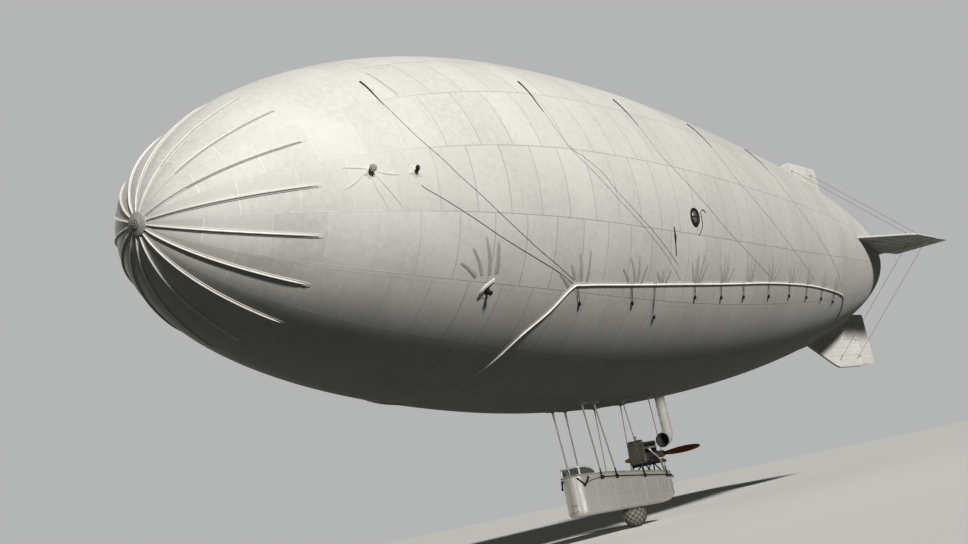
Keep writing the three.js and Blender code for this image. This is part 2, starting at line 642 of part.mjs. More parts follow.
function suspension(name, side) {
  const beside = (s) => {
    const here = gondolaAt(s);
    return at(s, side * (here.half + line.stand), here.rim - line.drop);
  };
  const route = [14.75, 15.25, 15.98, 16.8, 17.6, 18.4, 19.1, 19.4].map((station) => beside(station * m));
  const pieces = [tube(new THREE.CatmullRomCurve3(route), line.rail, 5, 9)];
  for (const [low, high] of lineStations) {
    const foot = beside(low * m);
    const s = high * m;
    const height = axisAt(s) - Math.sqrt(radiusAt(s) ** 2 - line.top ** 2);
    const head = at(s, side * line.top, height + 0.04 * m);
    pieces.push(rod(foot, head, line.radius, 5));
    const inner = foot.y - side * (line.stand + 0.01 * m);
    const outer = foot.y + side * 0.012 * m;
    pieces.push(box(low * m - 0.05 * m, low * m + 0.05 * m,
      Math.min(inner, outer), Math.max(inner, outer), foot.z - 0.06 * m, foot.z + 0.06 * m));
    pieces.push(turned([[0, -0.1 * m], [0.2 * m, -0.1 * m], [0.2 * m, 0.012 * m], [0.03 * m, 0.05 * m], [0, 0.05 * m]],
      8, head.clone().setZ(height), new THREE.Vector3(0, 0, -1)));
  }
  addPiece(name, joined(pieces).subtract(seatedHull).subtract(gondolaSeat), wireRope);
}
suspension('port_suspension', port);
suspension('starboard_suspension', starboard);

// Engine on its frame, radiator, exhaust and propeller
const engine = { from: 18.85 * m, to: 19.92 * m, half: 0.17 * m, low: crankHeight - 0.19 * m, high: crankHeight + 0.1 * m };
const bearer = { y: 0.2 * m, half: 0.035 * m, low: engine.low - gap - 0.08 * m, high: engine.low - gap };
const propeller = { station: 20.25 * m, radius: 1.35 * m, hub: 0.11 * m, half: 0.07 * m };

function engineFrame() {
  const deckGrown = deckSolid(gap);
  const pieces = [port, starboard].map((side) => box(18.5 * m, 20.02 * m,
    side * bearer.y - bearer.half, side * bearer.y + bearer.half, bearer.low, bearer.high));
  for (const s of [18.56 * m, 19.85 * m]) {
    pieces.push(box(s - 0.03 * m, s + 0.03 * m, -bearer.y, bearer.y, bearer.low + 0.01 * m, bearer.high - 0.01 * m));
  }
  // columns: station at the bearer, station and y at the deck
  const legs = [[18.6, 18.62, 0.42], [19.15, 18.66, 0.42], [19.15, 19.4, 0.36], [19.75, 19.44, 0.36]];
  for (const [high, low, y] of legs) {
    for (const side of [port, starboard]) {
      const head = at(high * m, side * bearer.y, (bearer.low + bearer.high) / 2);
      pieces.push(rod(head, at(low * m, side * y * m, -7.25 * m), 0.018 * m, 6));
    }
  }
  const under = box(18 * m, 20.2 * m, -m, m, -9 * m, -7.16 * m);
  addPiece('engine_frame', joined(pieces).subtract(deckGrown).subtract(under), darkMetal);
}

function engineBlock() {
  const crankcase = box(engine.from, engine.to, -engine.half, engine.half, engine.low, engine.high);
  const lifted = engine.half + 0.09 * m;
  const feet = box(engine.from + 0.1 * m, engine.to - 0.1 * m, -lifted, lifted, engine.low, engine.low + 0.04 * m);
  const pieces = [crankcase, feet];
  for (let i = 0; i < 6; i++) {
    const s = engine.from + (0.1 + 0.172 * i) * m;
    pieces.push(turned([[0, 0], [0.075 * m, 0], [0.075 * m, 0.3 * m], [0, 0.3 * m]],
      8, at(s, 0, engine.high - 0.01 * m), new THREE.Vector3(0, 0, 1)));
  }
  const cover = crankHeight + 0.38 * m;
  pieces.push(box(engine.from + 0.02 * m, engine.to - 0.04 * m, -0.05 * m, 0.05 * m, cover, cover + 0.07 * m));
  const shaftEnd = propeller.station - propeller.half - gap;
  pieces.push(rod(at(engine.to - 0.02 * m, 0, crankHeight), at(shaftEnd, 0, crankHeight), 0.05 * m, 12));
  addPiece('engine_block', joined(pieces), castMetal);
}

function radiator() {
  const s = 18.62 * m;
  const core = box(s - 0.07 * m, s + 0.07 * m, -0.25 * m, 0.25 * m, bearer.high + gap, -6.12 * m);
  const header = turned([[0, -0.23 * m], [0.09 * m, -0.23 * m], [0.09 * m, 0.23 * m], [0, 0.23 * m]],
    12, at(s, 0, -6.12 * m), new THREE.Vector3(0, 1, 0));
  const cap = turned([[0, 0], [0.04 * m, 0], [0.04 * m, 0.16 * m], [0, 0.16 * m]],
    10, at(s, 0.05 * m, -6.06 * m), new THREE.Vector3(0, 0, 1));
  addPiece('radiator', joined([core, header, cap]), brass);
}

function exhaust() {
  const y = 0.105 * m;
  const header = rod(at(18.92 * m, y, -6.3 * m), at(19.72 * m, y, -6.3 * m), 0.04 * m, 8);
  const route = [
    at(18.97 * m, y, -6.3 * m), at(18.97 * m, 0.24 * m, -6.34 * m), at(19.04 * m, 0.3 * m, -6.47 * m),
    at(19.28 * m, 0.31 * m, -6.62 * m), at(19.46 * m, 0.31 * m, -6.79 * m), at(19.54 * m, 0.31 * m, -7.0 * m),
  ];
  const pipe = tube(new THREE.CatmullRomCurve3(route), 0.035 * m, 8, 14);
  const cylinders = [];
  for (let i = 0; i < 6; i++) {
    const s = engine.from + (0.1 + 0.172 * i) * m;
    cylinders.push(turned([[0, 0], [0.075 * m + gap, 0], [0.075 * m + gap, 0.4 * m], [0, 0.4 * m]],
      8, at(s, 0, engine.high - 0.01 * m), new THREE.Vector3(0, 0, 1)));
  }
  addPiece('exhaust_pipe', header.add(pipe).subtract(joined(cylinders)), castMetal);
}

function propellerSolid() {
  const centre = at(propeller.station, 0, crankHeight);
  const hub = turned(
    [[0, -propeller.half], [propeller.hub, -propeller.half], [propeller.hub, propeller.half], [0, propeller.half]],
    16, centre, ahead);
  // columns: share of the radius, chord and thickness in metres, pitch angle in degrees from the disc
  const sections = [
    [0.02, 0.12, 0.1, 45], [0.12, 0.14, 0.085, 42], [0.3, 0.2, 0.05, 32], [0.55, 0.22, 0.032, 22],
    [0.8, 0.18, 0.022, 16], [0.95, 0.11, 0.014, 13], [1, 0.04, 0.008, 12],
  ];
  const pieces = [hub];
  for (const side of [port, starboard]) {
    pieces.push(loft(sections.map(([share, chord, thick, pitch]) => {
      const turn = THREE.MathUtils.degToRad(pitch) * side;
      const ring = [];
      for (let k = 0; k < 8; k++) {
        const around = (2 * Math.PI * k) / 8;
        const z = (chord / 2) * m * Math.cos(around);
        const x = (thick / 2) * m * Math.sin(around);
        ring.push(new THREE.Vector3(
          centre.x + x * Math.cos(turn) - z * Math.sin(turn), side * share * propeller.radius,
          centre.z + x * Math.sin(turn) + z * Math.cos(turn)));
      }
      return ring;
    })));
  }
  return joined(pieces);
}

engineFrame();
engineBlock();
radiator();
exhaust();
addPiece('propeller', propellerSolid(), woodVarnish);

// Air duct: a fabric tube from the belly down behind the propeller, and a scoop below it that faces forward
// each row: place on the middle line, radius, and the direction's angle from straight down
function ductForm(rows, inset) {
  return loft(rows.map(([s, z, radius, turn]) => {
    const ring = [];
    for (let k = 0; k < 12; k++) {
      const around = (2 * Math.PI * k) / 12;
      const across = (radius - inset) * Math.cos(around);
      ring.push(at(s - across * Math.cos(turn), (radius - inset) * Math.sin(around), z + across * Math.sin(turn)));
    }
    return ring;
  }));
}

// The rows of the tube and of the scoop: the inside of each runs past both ends, to open them
const ductKnee = duct.mouth.height + duct.bend;
const ductPast = 0.01 * m;

function tubeRows(past) {
  return [[duct.station, duct.top + past, duct.radius, 0], [duct.station, ductKnee - past, duct.radius, 0]];
}

function scoopRows(past) {
  const rows = [[duct.station, ductKnee - gap + past, duct.radius, 0]];
  for (let i = 1; i <= 4; i++) {
    const turn = (Math.PI / 8) * i;
    const wider = duct.radius + 0.02 * m * (i / 4);
    rows.push([duct.station - duct.bend * (1 - Math.cos(turn)), ductKnee - duct.bend * Math.sin(turn), wider, turn]);
  }
  rows.push([duct.mouth.station - past, duct.mouth.height, duct.mouth.radius, Math.PI / 2]);
  return rows;
}

function ductPiece(name, rowsOf) {
  const shell = ductForm(rowsOf(0), 0).subtract(ductForm(rowsOf(ductPast), duct.wall));
  addPiece(name, shell.subtract(seatedHull), whiteRope);
}
ductPiece('air_duct', tubeRows);
ductPiece('duct_scoop', scoopRows);

// Bumper: a round stuffed cushion under the gondola, netted to its bottom
const bumper = { station: 17.6 * m, long: 0.47 * m, wide: 0.31 * m, low: -8.53 * m, high: -7.9 * m };

function bumperSolid() {
  const middle = (bumper.low + bumper.high) / 2 + 0.03 * m;
  const tall = middle - bumper.low + 0.02 * m;
  const geometry = new THREE.SphereGeometry(1, 16, 10);
  geometry.rotateX(Math.PI / 2);
  geometry.scale(bumper.long, bumper.wide, tall);
  geometry.translate(centreOfLift - bumper.station, 0, middle);
  const under = box(16 * m, 19 * m, -m, m, -10 * m, bumper.low);
  const above = box(16 * m, 19 * m, -m, m, -7.95 * m, -6 * m);
  return solidOf(geometry).subtract(gondolaSeat).subtract(under).subtract(above);
}
addPiece('bumper', bumperSolid(), canvas);

export default airship;
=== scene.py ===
# A soft airship and its gondola, dressed for its picture. Metres, in the part's frame: +X ahead, +Y to port.
from functools import partial
from math import asin, atan2, cos, degrees, exp, hypot, pi, radians, sin, sqrt

import bpy
from mathutils import Matrix, Vector


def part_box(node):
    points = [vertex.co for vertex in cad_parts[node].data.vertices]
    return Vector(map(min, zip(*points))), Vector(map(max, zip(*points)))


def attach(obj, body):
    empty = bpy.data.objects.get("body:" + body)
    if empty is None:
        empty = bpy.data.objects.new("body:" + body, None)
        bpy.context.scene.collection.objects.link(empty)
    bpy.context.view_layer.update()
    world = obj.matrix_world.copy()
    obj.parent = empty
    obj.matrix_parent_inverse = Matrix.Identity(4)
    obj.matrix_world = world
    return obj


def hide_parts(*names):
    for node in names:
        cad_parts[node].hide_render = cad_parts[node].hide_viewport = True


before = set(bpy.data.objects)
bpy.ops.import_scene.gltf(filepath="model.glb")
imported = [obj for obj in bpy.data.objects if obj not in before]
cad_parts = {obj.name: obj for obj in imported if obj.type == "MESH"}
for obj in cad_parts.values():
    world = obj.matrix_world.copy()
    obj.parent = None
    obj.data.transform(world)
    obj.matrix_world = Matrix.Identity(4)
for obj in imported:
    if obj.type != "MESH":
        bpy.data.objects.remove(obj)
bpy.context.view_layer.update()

# The model is 1:2: sizes below are the real ship's, in metres, and shown turns them into the model's
shown = 0.5
liftStation = 20.4  # metres aft of the nose tip: where the frame's origin is
sides = {"port": 1, "starboard": -1}
hull = {"length": 46.0, "radius": 4.906, "fullest": 0.367, "noseAlong": 2.341, "noseAcross": 1.919,
        "tailAlong": 1.558, "tailAcross": 1.763, "endRise": 0.521, "noseDroop": 0.738}


# Camera: below and ahead of the port bow, with the horizon leaning
shot = {
    "place": (19.3747, 9.7132, -3.5944), "right": (-0.55477449, 0.80574316, -0.2073722),
    "up": (0.0296716, 0.26824715, 0.96289307), "ahead": (-0.8314715, -0.52803545, 0.17272436),
    "focal": 1341.015, "width": 968,  # in pixels of the picture
}
camera = bpy.data.objects.new("camera", bpy.data.cameras.new("camera"))
bpy.context.collection.objects.link(camera)
camera.data.sensor_width = 36.0
camera.data.lens = shot["focal"] / shot["width"] * camera.data.sensor_width
camera.data.clip_end = 200.0
facing = Matrix((shot["right"], shot["up"], -Vector(shot["ahead"]))).transposed()
camera.matrix_world = Matrix.Translation(shot["place"]) @ facing.to_4x4()
bpy.context.scene.camera = camera
print("camera placed")


# Places

def at(s, y, z):  # from a station aft of the nose, a distance to port and a height
    return Vector((liftStation - s, y, z)) * shown


def radiusAt(s):
    fullest = hull["fullest"] * hull["length"]
    nose = s < fullest
    reach = fullest if nose else hull["length"] - fullest
    along, across = ((hull["noseAlong"], hull["noseAcross"]) if nose
                     else (hull["tailAlong"], hull["tailAcross"]))
    part = min(1.0, abs(s - fullest) / reach)
    return hull["radius"] * (1 - part ** along) ** (1 / across)


def axisAt(s):
    along = s / hull["length"]
    return hull["endRise"] * (2 * along - 1) ** 2 - hull["noseDroop"] * max(0.0, 1 - 4 * along) ** 2


def hullPoint(s, above, lift=0.0, side=1):  # above the side in degrees, and lifted off the skin
    before, after = max(0.0, s - 0.002), min(hull["length"], s + 0.002)
    slope = (radiusAt(after) - radiusAt(before)) / (after - before)
    steep = hypot(1.0, slope)
    out = radiusAt(s) + lift / steep
    angle = radians(above)
    return at(s - lift * slope / steep, side * out * cos(angle), axisAt(s) + out * sin(angle))


def hullNormal(s, above, side=1):
    return (hullPoint(s, above, 0.02, side) - hullPoint(s, above, 0.0, side)).normalized()


def spotOn(spot, side):  # a place on the skin, and the way that a fitting stands there
    return hullPoint(*spot, 0.0, side), hullNormal(*spot, side)


def sideAngle(k, count):  # of so many places around the hull, one's side and its angle above the side
    turn = 360 * k / count
    return (1 if turn <= 90 or turn >= 270 else -1), degrees(asin(sin(radians(turn))))


def smoothed(points, steps):  # a Catmull-Rom curve through points, with so many steps in each span
    points = [Vector(point) for point in points]
    rounds = []
    for i in range(len(points) - 1):
        a = points[max(0, i - 1)]
        b, c = points[i], points[i + 1]
        d = points[min(len(points) - 1, i + 2)]
        for k in range(steps):
            t = k / steps
            rounds.append(0.5 * (2 * b + (c - a) * t + (2 * a - 5 * b + 4 * c - d) * t ** 2
                                 + (3 * b - a - 3 * c + d) * t ** 3))
    return rounds + [points[-1]]


def bothSides(half, first=0):  # a path that ends on the middle, and its mirror image after it
    return half + [Vector((p.x, -p.y, p.z)) for p in reversed(half[first:-1])]


def oval(wide, tall, count):
    return [(wide * cos(2 * pi * k / count), tall * sin(2 * pi * k / count)) for k in range(count)]


# Modelling by hand: every piece starts from a primitive and ends at the origin, with its place in its mesh

def deselect():
    if bpy.context.mode != "OBJECT":
        bpy.ops.object.mode_set(mode="OBJECT")
    bpy.ops.object.select_all(action="DESELECT")


def choose(piece):
    deselect()
    piece.select_set(True)
    bpy.context.view_layer.objects.active = piece
    return piece


def applied(piece, kind, **settings):
    choose(piece)
    modifier = piece.modifiers.new(kind.title(), kind)
    for key, value in settings.items():
        setattr(modifier, key, value)
    bpy.ops.object.modifier_apply(modifier=modifier.name)
    return piece


def closed(piece, angle=35, fill=True):  # seams merged, holes filled, faces outwards, soft edges smooth
    choose(piece)
    bpy.ops.object.mode_set(mode="EDIT")
    bpy.ops.mesh.select_all(action="SELECT")
    bpy.ops.mesh.remove_doubles(threshold=2e-6)
    bpy.ops.mesh.dissolve_degenerate(threshold=1e-6)
    if fill:
        bpy.ops.mesh.fill_holes(sides=0)
    bpy.ops.mesh.select_all(action="SELECT")
    bpy.ops.mesh.normals_make_consistent(inside=False)
    bpy.ops.object.mode_set(mode="OBJECT")
    bpy.ops.object.shade_smooth_by_angle(angle=radians(angle))
    return piece


def copied(piece, matrix):
    double = piece.copy()
    double.data = piece.data.copy()
    double.data.transform(matrix)
    bpy.context.collection.objects.link(double)
    return double


def turnedTo(place, direction):  # stands a piece that was made upright at the origin on a place
    turn = Vector((0, 0, 1)).rotation_difference(Vector(direction)).to_matrix().to_4x4()
    return Matrix.Translation(place) @ turn


def copies(piece, spots):  # what repeats: one model, copied to each place and turned to the way given there
    pieces = [copied(piece, turnedTo(*spot)) for spot in spots]
    bpy.data.objects.remove(piece)
    return pieces


def skinned(rings, loop=False, fill=True, angle=35, sheet=False):
    # a grid whose rows are laid on rings of points and whose two edges meet, unless it is a sheet
    rows, columns = len(rings), len(rings[0])
    spans = rows if loop else rows - 1
    around = columns - 1 if sheet else columns
    deselect()
    bpy.ops.mesh.primitive_grid_add(x_subdivisions=around, y_subdivisions=spans, size=1)
    piece = bpy.context.object
    for vertex in piece.data.vertices:
        column = round((vertex.co.x + 0.5) * around) % columns
        row = round((vertex.co.y + 0.5) * spans) % rows
        vertex.co = rings[row][column]
    middle = rings[rows // 2]
    girth = sum((middle[k] - middle[k - 1]).length for k in range(columns))
    reach = [0.0]
    for i in range(spans):
        reach.append(reach[-1] + (rings[(i + 1) % rows][0] - rings[i][0]).length)
    for corner in piece.data.uv_layers[0].uv:  # the map in metres: around, and along
        corner.vector = (corner.vector[0] * girth, reach[round(corner.vector[1] * spans)])
    return closed(piece, angle, fill)


def turned(profile, count, place=None, direction=(0, 0, 1)):
    # a round plate, drawn up row by row: each row is a radius and a height, in real metres
    radius, height = (value * shown for value in profile[0])
    deselect()
    bpy.ops.mesh.primitive_circle_add(vertices=count, radius=radius, fill_type="NGON", location=(0, 0, 0))
    piece = bpy.context.object
    bpy.ops.object.mode_set(mode="EDIT")
    bpy.ops.mesh.select_all(action="SELECT")
    bpy.ops.transform.translate(value=(0, 0, height))
    for nextRadius, nextHeight in profile[1:]:
        nextRadius, nextHeight = nextRadius * shown, nextHeight * shown
        bpy.ops.mesh.extrude_region_move(TRANSFORM_OT_translate={"value": (0, 0, nextHeight - height)})
        ratio = nextRadius / radius
        bpy.ops.transform.resize(value=(ratio, ratio, 1), center_override=(0, 0, nextHeight))
        radius, height = nextRadius, nextHeight
    closed(piece)
    if place is not None:
        piece.data.transform(turnedTo(place, direction))
    return piece


def block(low, high, bevel=0.0, segments=2):  # corners and bevel in real metres
    low, high = Vector(low) * shown, Vector(high) * shown
    deselect()
    bpy.ops.mesh.primitive_cube_add(size=1, location=(0, 0, 0))
    piece = bpy.context.object
    bpy.ops.object.mode_set(mode="EDIT")
    bpy.ops.mesh.select_all(action="SELECT")
    bpy.ops.transform.resize(value=high - low, center_override=(0, 0, 0))
    bpy.ops.transform.translate(value=(low + high) / 2)
    if bevel:
        bpy.ops.mesh.bevel(offset=bevel * shown, segments=segments, affect="EDGES")
    return closed(piece)


def stationBlock(s, y, z, bevel=0.0, segments=2):  # each a pair: from and to, in real metres
    return block((liftStation - s[1], min(y), min(z)), (liftStation - s[0], max(y), max(z)), bevel, segments)


def framesAlong(path, loop=False):  # places with two directions across, carried along without a twist
    count = len(path)
    frames = []
    across = None
    for i, place in enumerate(path):
        after = path[(i + 1) % count] if loop or i + 1 < count else path[i]
        before = path[i - 1] if loop or i > 0 else path[i]
        along = (after - before).normalized()
        if across is None:
            across = along.cross(Vector((0, 0, 1)))
            if across.length < 0.1:
                across = along.cross(Vector((0, 1, 0)))
        across = (across - along * across.dot(along)).normalized()
        frames.append((place, across, along.cross(across)))
    return frames


def framesOnHull(route, side, lift=0.0):  # places on the skin, with one direction along it and one outwards
    path = [hullPoint(s, above, lift, side) for s, above in route]
    frames = []
    for i, (place, (s, above)) in enumerate(zip(path, route)):
        along = (path[min(i + 1, len(path) - 1)] - path[max(i - 1, 0)]).normalized()
        outward = hullNormal(s, above, side)
        frames.append((place, outward.cross(along).normalized(), outward))
    return frames


def swept(frames, section, sizes=None, loop=False, angle=40):
    # a section of (across, up) points in real metres, carried along frames
    rings = []
    for i, (place, across, up) in enumerate(frames):
        size = shown * (sizes[i] if sizes else 1.0)
        rings.append([place + across * (x * size) + up * (z * size) for x, z in section])
    return skinned(rings, loop=loop, angle=angle)


def pipe(path, radius, count=10, loop=False, sizes=None):
    return swept(framesAlong(path, loop), oval(radius, radius, count), sizes, loop)


def finishNode(name, material):  # a CAD node that keeps its shape
    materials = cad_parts[name].data.materials
    materials.clear()
    materials.append(material)


def dress(name, pieces, material, slotName, *nodes, body="root", stand=None):
    # pieces joined as one, set on a stand, and given its name, finish and body, with the CAD nodes it
    # replaces hidden; slotName is not used
    pieces = pieces if isinstance(pieces, list) else [pieces]
    piece = choose(pieces[0])
    for other in pieces[1:]:
        other.select_set(True)
    if len(pieces) > 1:
        bpy.ops.object.join()
    piece.name = piece.data.name = name
    if stand is not None:
        piece.data.transform(stand)
    piece.data.materials.clear()
    piece.data.materials.append(material)
    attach(piece, body)
    if nodes:
        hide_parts(*nodes)
    return piece


# Finishes

def tint(code):  # an sRGB hex value as a linear colour
    parts = [int(code[k:k + 2], 16) / 255 for k in (1, 3, 5)]
    return [((c + 0.055) / 1.055) ** 2.4 if c > 0.04045 else c / 12.92 for c in parts] + [1.0]


def wire(node, inputs):  # its sockets, in order or by name, set to values and hex colours or linked to nodes
    for socket, source in inputs.items() if isinstance(inputs, dict) else enumerate(inputs):
        if isinstance(source, bpy.types.Node):
            source = source.outputs[2 if source.type == "MIX" else 0]
        if isinstance(source, bpy.types.NodeSocket):
            node.id_data.links.new(source, node.inputs[socket])
        else:
            node.inputs[socket].default_value = tint(source) if isinstance(source, str) else source


def addNode(tree, kind, inputs=(), **settings):  # a node with its settings, and its sockets set or linked
    node = tree.nodes.new("ShaderNode" + kind)
    for key, value in settings.items():
        setattr(node, key, value)
    wire(node, inputs)
    return node


def newFinish(name, roughness, **sockets):  # its material, what adds nodes to it, its shader and coordinates
    material = bpy.data.materials.new(name)
    material.use_nodes = True
    material.node_tree.nodes.clear()
    add = partial(addNode, material.node_tree)
    shader = add("BsdfPrincipled", {"Roughness": roughness})
    wire(shader, {key.replace("_", " "): value for key, value in sockets.items()})
    add("OutputMaterial", {"Surface": shader})
    return material, add, shader, add("TexCoord").outputs


def dopedCotton():
    # Rubberised cotton with aluminium dope, glued in bricks of cloth under tapes: a dull silver skin whose
    # panels differ a little, and with painted shade that darkens it aft. Its map is in real metres: along the
    # hull, and around it at its fullest.
    cloth = {"light": "#cfcdc6", "dark": "#c8c6bf", "tape": "#dbd9d2", "oldTape": "#b4b2ab",
             "sootAndShade": "#86847e", "panel": 1.06, "tapeHalf": 0.013, "firstSeam": 5.87}
    material, add, shader, where = newFinish("doped cotton", 0.7, Specular_IOR_Level=0.12,
                                              Sheen_Weight=0.08)
    along, around = add("SeparateXYZ", [where["UV"]]).outputs[:2]
    shift = 7.5 * cloth["panel"] - cloth["firstSeam"]
    aged = add("MapRange", [along, 3.0, 6.5])
    tape = add("Mix", {0: aged, 6: cloth["tape"], 7: cloth["oldTape"]}, data_type="RGBA")
    bricks = add("TexBrick", {
        "Vector": add("Mapping", {"Vector": where["UV"], "Location": (shift, 0, 0)}),
        "Color1": cloth["light"],
        "Color2": cloth["dark"], "Mortar": tape, "Scale": 1.0, "Mortar Size": cloth["tapeHalf"],
        "Mortar Smooth": 0.3, "Bias": -0.2, "Brick Width": cloth["panel"], "Row Height": skin["strip"],
    }, offset=0.5, offset_frequency=2)
    clouds = add("TexNoise", {"Vector": where["Object"], "Scale": 0.9, "Detail": 6.0})
    spots = add("TexNoise", {"Vector": where["Object"], "Scale": 14.0, "Detail": 5.0, "Roughness": 0.65})
    dirty = add("MapRange", [add("Math", [clouds, spots], operation="MULTIPLY"), 0.16, 0.42, 0.0, 0.22])
    # painted shade: from station 5 to 22 the skin is mixed ever more with the dark soot tone, so that it is
    # drawn darker aft, as the light falls off there
    paintedShadeAft = add("MapRange", [along, 5.0, 22.0, 0.0, 0.28])
    weathered = add("Mix", {0: paintedShadeAft, 6: bricks, 7: cloth["sootAndShade"]}, data_type="RGBA")
    colour = add("Mix", {0: dirty, 6: weathered, 7: cloth["sootAndShade"]}, data_type="RGBA")
    # tapes stand proud, and the cloth has upright folds where the rigging pulls; the weave, 0.5 mm in
    # the real cloth, is drawn 14 mm wide so that it shows
    stretched = add("Mapping", {"Vector": where["UV"], "Scale": (3.2, 0.35, 1.0)})
    folds = add("TexNoise", {"Vector": stretched, "Scale": 1.0, "Detail": 3.0})
    nearBelt = add("Math", [around, -2.9, 1.1], operation="COMPARE")
    pulled = add("Math", [nearBelt, 0.6, 0.4], operation="MULTIPLY_ADD")
    folded = add("Math", [folds, pulled], operation="MULTIPLY")
    weave = add("TexNoise", {"Vector": where["Object"], "Scale": 70.0, "Detail": 2.0})
    foldBump = add("Bump", {"Height": folded, "Strength": 0.5, "Distance": 0.012})
    tapeBump = add("Bump", {"Height": bricks.outputs["Fac"], "Strength": 0.6, "Distance": 0.004,
                            "Normal": foldBump})
    weaveBump = add("Bump", {"Height": weave, "Strength": 0.12, "Distance": 0.002, "Normal": tapeBump})
    wire(shader, {"Base Color": colour, "Normal": weaveBump})
    return material


def mottled(name, light, dark, roughness, grain, bump, stretch=(1, 1, 1), fleck=None, **sockets):
    # a finish of two tones: grain is its pattern's size and bump its height, in millimetres, and fleck, if
    # any, a third tone in spots where it is rubbed or chipped
    material, add, shader, where = newFinish(name, roughness, **sockets)
    drawn = add("Mapping", {"Vector": where["Object"], "Scale": stretch})
    fine = add("TexNoise", {"Vector": drawn, "Scale": 1000 / grain, "Detail": 6.0})
    wide = add("TexNoise", {"Vector": where["Object"], "Scale": 60 / grain, "Detail": 3.0})
    share = add("MapRange", [add("Math", [fine, wide], operation="ADD"), 0.75, 1.25])
    colour = add("Mix", {0: share, 6: light, 7: dark}, data_type="RGBA")
    if fleck:
        spots = add("TexNoise", {"Vector": where["Object"], "Scale": 300 / grain, "Detail": 8.0,
                                 "Roughness": 0.7})
        worn = add("MapRange", [spots, 0.62, 0.66])
        colour = add("Mix", {0: worn, 6: colour, 7: fleck}, data_type="RGBA")
    gloss = add("MapRange", [share, 0.0, 1.0, roughness, min(1.0, roughness + 0.18)])
    relief = add("Bump", {"Height": fine, "Strength": 0.6, "Distance": bump / 1000})
    wire(shader, {"Base Color": colour, "Roughness": gloss, "Normal": relief})
    return material


def woven(name, light, dark, thread, soil):
    # cotton tape and canvas: dull, with warp and weft, and painted shade in the gaps between the threads. The
    # threads, 1 mm in the real cloth, are drawn as wide as thread says, in millimetres, so that they show,
    # and the soil gathers in wide patches.
    material, add, shader, where = newFinish(name, 0.85, Sheen_Weight=0.15)
    threads = {"Vector": where["UV"], "Scale": 100 * pi / thread, "Distortion": 0.6, "Detail": 1.0}
    heights = [add("TexWave", threads, bands_direction=way).outputs[1] for way in ("X", "Y")]
    cloth = add("Math", heights, operation="MULTIPLY")
    wide = add("TexNoise", {"Vector": where["Object"], "Scale": 5.0, "Detail": 7.0, "Roughness": 0.6})
    ground = add("Mix", {0: add("MapRange", [wide, 0.35, 0.7]), 6: light, 7: soil}, data_type="RGBA")
    # painted shade: where the threads are low, between them, the cloth takes the dark tone
    between = add("MapRange", [cloth, 0.0, 0.3, 0.5, 0.0])
    colour = add("Mix", {0: between, 6: ground, 7: dark}, data_type="RGBA")
    relief = add("Bump", {"Height": cloth, "Strength": 0.35, "Distance": thread / 5000})
    wire(shader, {"Base Color": colour, "Normal": relief})
    return material


def laidRope(name, light, dark, lay):
    # three-strand rope: the map runs around it and along it in metres, so slanting bands show the strands,
    # with painted shade in the grooves between them
    material, add, shader, where = newFinish(name, 0.8)
    slanted = add("Mapping", {"Vector": where["UV"], "Rotation": (0, 0, radians(38))})
    strands = add("TexWave", {"Vector": slanted, "Scale": 100 * pi / lay, "Distortion": 0.4},
                  bands_direction="Y").outputs[1]
    # painted shade: the grooves between the strands take the dark tone, the crests the light one
    colour = add("Mix", {0: strands, 6: dark, 7: light}, data_type="RGBA")
    relief = add("Bump", {"Height": strands, "Strength": 0.7, "Distance": 0.003})
    wire(shader, {"Base Color": colour, "Normal": relief})
    return material


def laminatedAsh(light, dark, thick):
    # propeller wood: boards, so many metres thick, glued face to face across the axis, then scraped and
    # varnished, so that the glue lines run out over the blades like contours
    material, add, shader, where = newFinish("varnished laminated ash", 0.28, Coat_Weight=0.5)
    boards = add("TexWave", {"Vector": where["Object"], "Scale": 0.1 * pi / thick, "Distortion": 0.3},
                 bands_direction="X", wave_profile="SAW").outputs[1]
    drawn = add("Mapping", {"Vector": where["Object"], "Scale": (12, 0.8, 12)})
    grain = add("TexNoise", {"Vector": drawn, "Scale": 9.0, "Detail": 6.0})
    both = add("Math", [boards, grain], operation="MULTIPLY")
    colour = add("Mix", {0: both, 6: dark, 7: light}, data_type="RGBA")
    relief = add("Bump", {"Height": grain, "Strength": 0.2, "Distance": 0.0006})
    wire(shader, {"Base Color": colour, "Normal": relief})
    return material


def honeycomb(brass, holeShade):
    # radiator core: thin brass tubes side by side, each hole painted dark as the shade inside it; the cells,
    # 8 mm in the real one, are drawn 12 mm wide so that they show
    material, add, shader, where = newFinish("radiator honeycomb", 0.5, Metallic=0.5)
    level = add("Mapping", {"Vector": where["Object"], "Scale": (0.0, 1.0, 1.0)})
    cells = add("TexVoronoi", {"Vector": level, "Scale": 85.0, "Randomness": 0.12},
                feature="DISTANCE_TO_EDGE")
    hollowsAndShade = add("MapRange", [cells, 0.06, 0.16])
    # painted shade: the middle of each cell takes the dark hole tone
    colour = add("Mix", {0: hollowsAndShade, 6: brass, 7: holeShade}, data_type="RGBA")
    relief = add("Bump", {"Height": hollowsAndShade, "Strength": 0.8, "Distance": 0.004}, invert=True)
    wire(shader, {"Base Color": colour, "Normal": relief})
    return material


def clearSheet(colour):  # windscreen glass: clear, a little dusty
    material, add, shader, where = newFinish("window glass", 0.05, Transmission_Weight=0.95, IOR=1.2)
    dust = add("TexNoise", {"Vector": where["Object"], "Scale": 18.0, "Detail": 5.0})
    wire(shader, {"Base Color": colour, "Roughness": add("MapRange", [dust, 0.45, 0.9, 0.02, 0.12])})
    return material


skin = {"rings": 150, "columns": 128, "scallop": 0.012, "battenEnd": 2.5, "battens": 16, "seamDegrees": 10.5,
        "stripDegrees": 22.5, "strip": 1.924}  # the cloth's strips: 22.5 degrees, or 1.924 m at its fullest

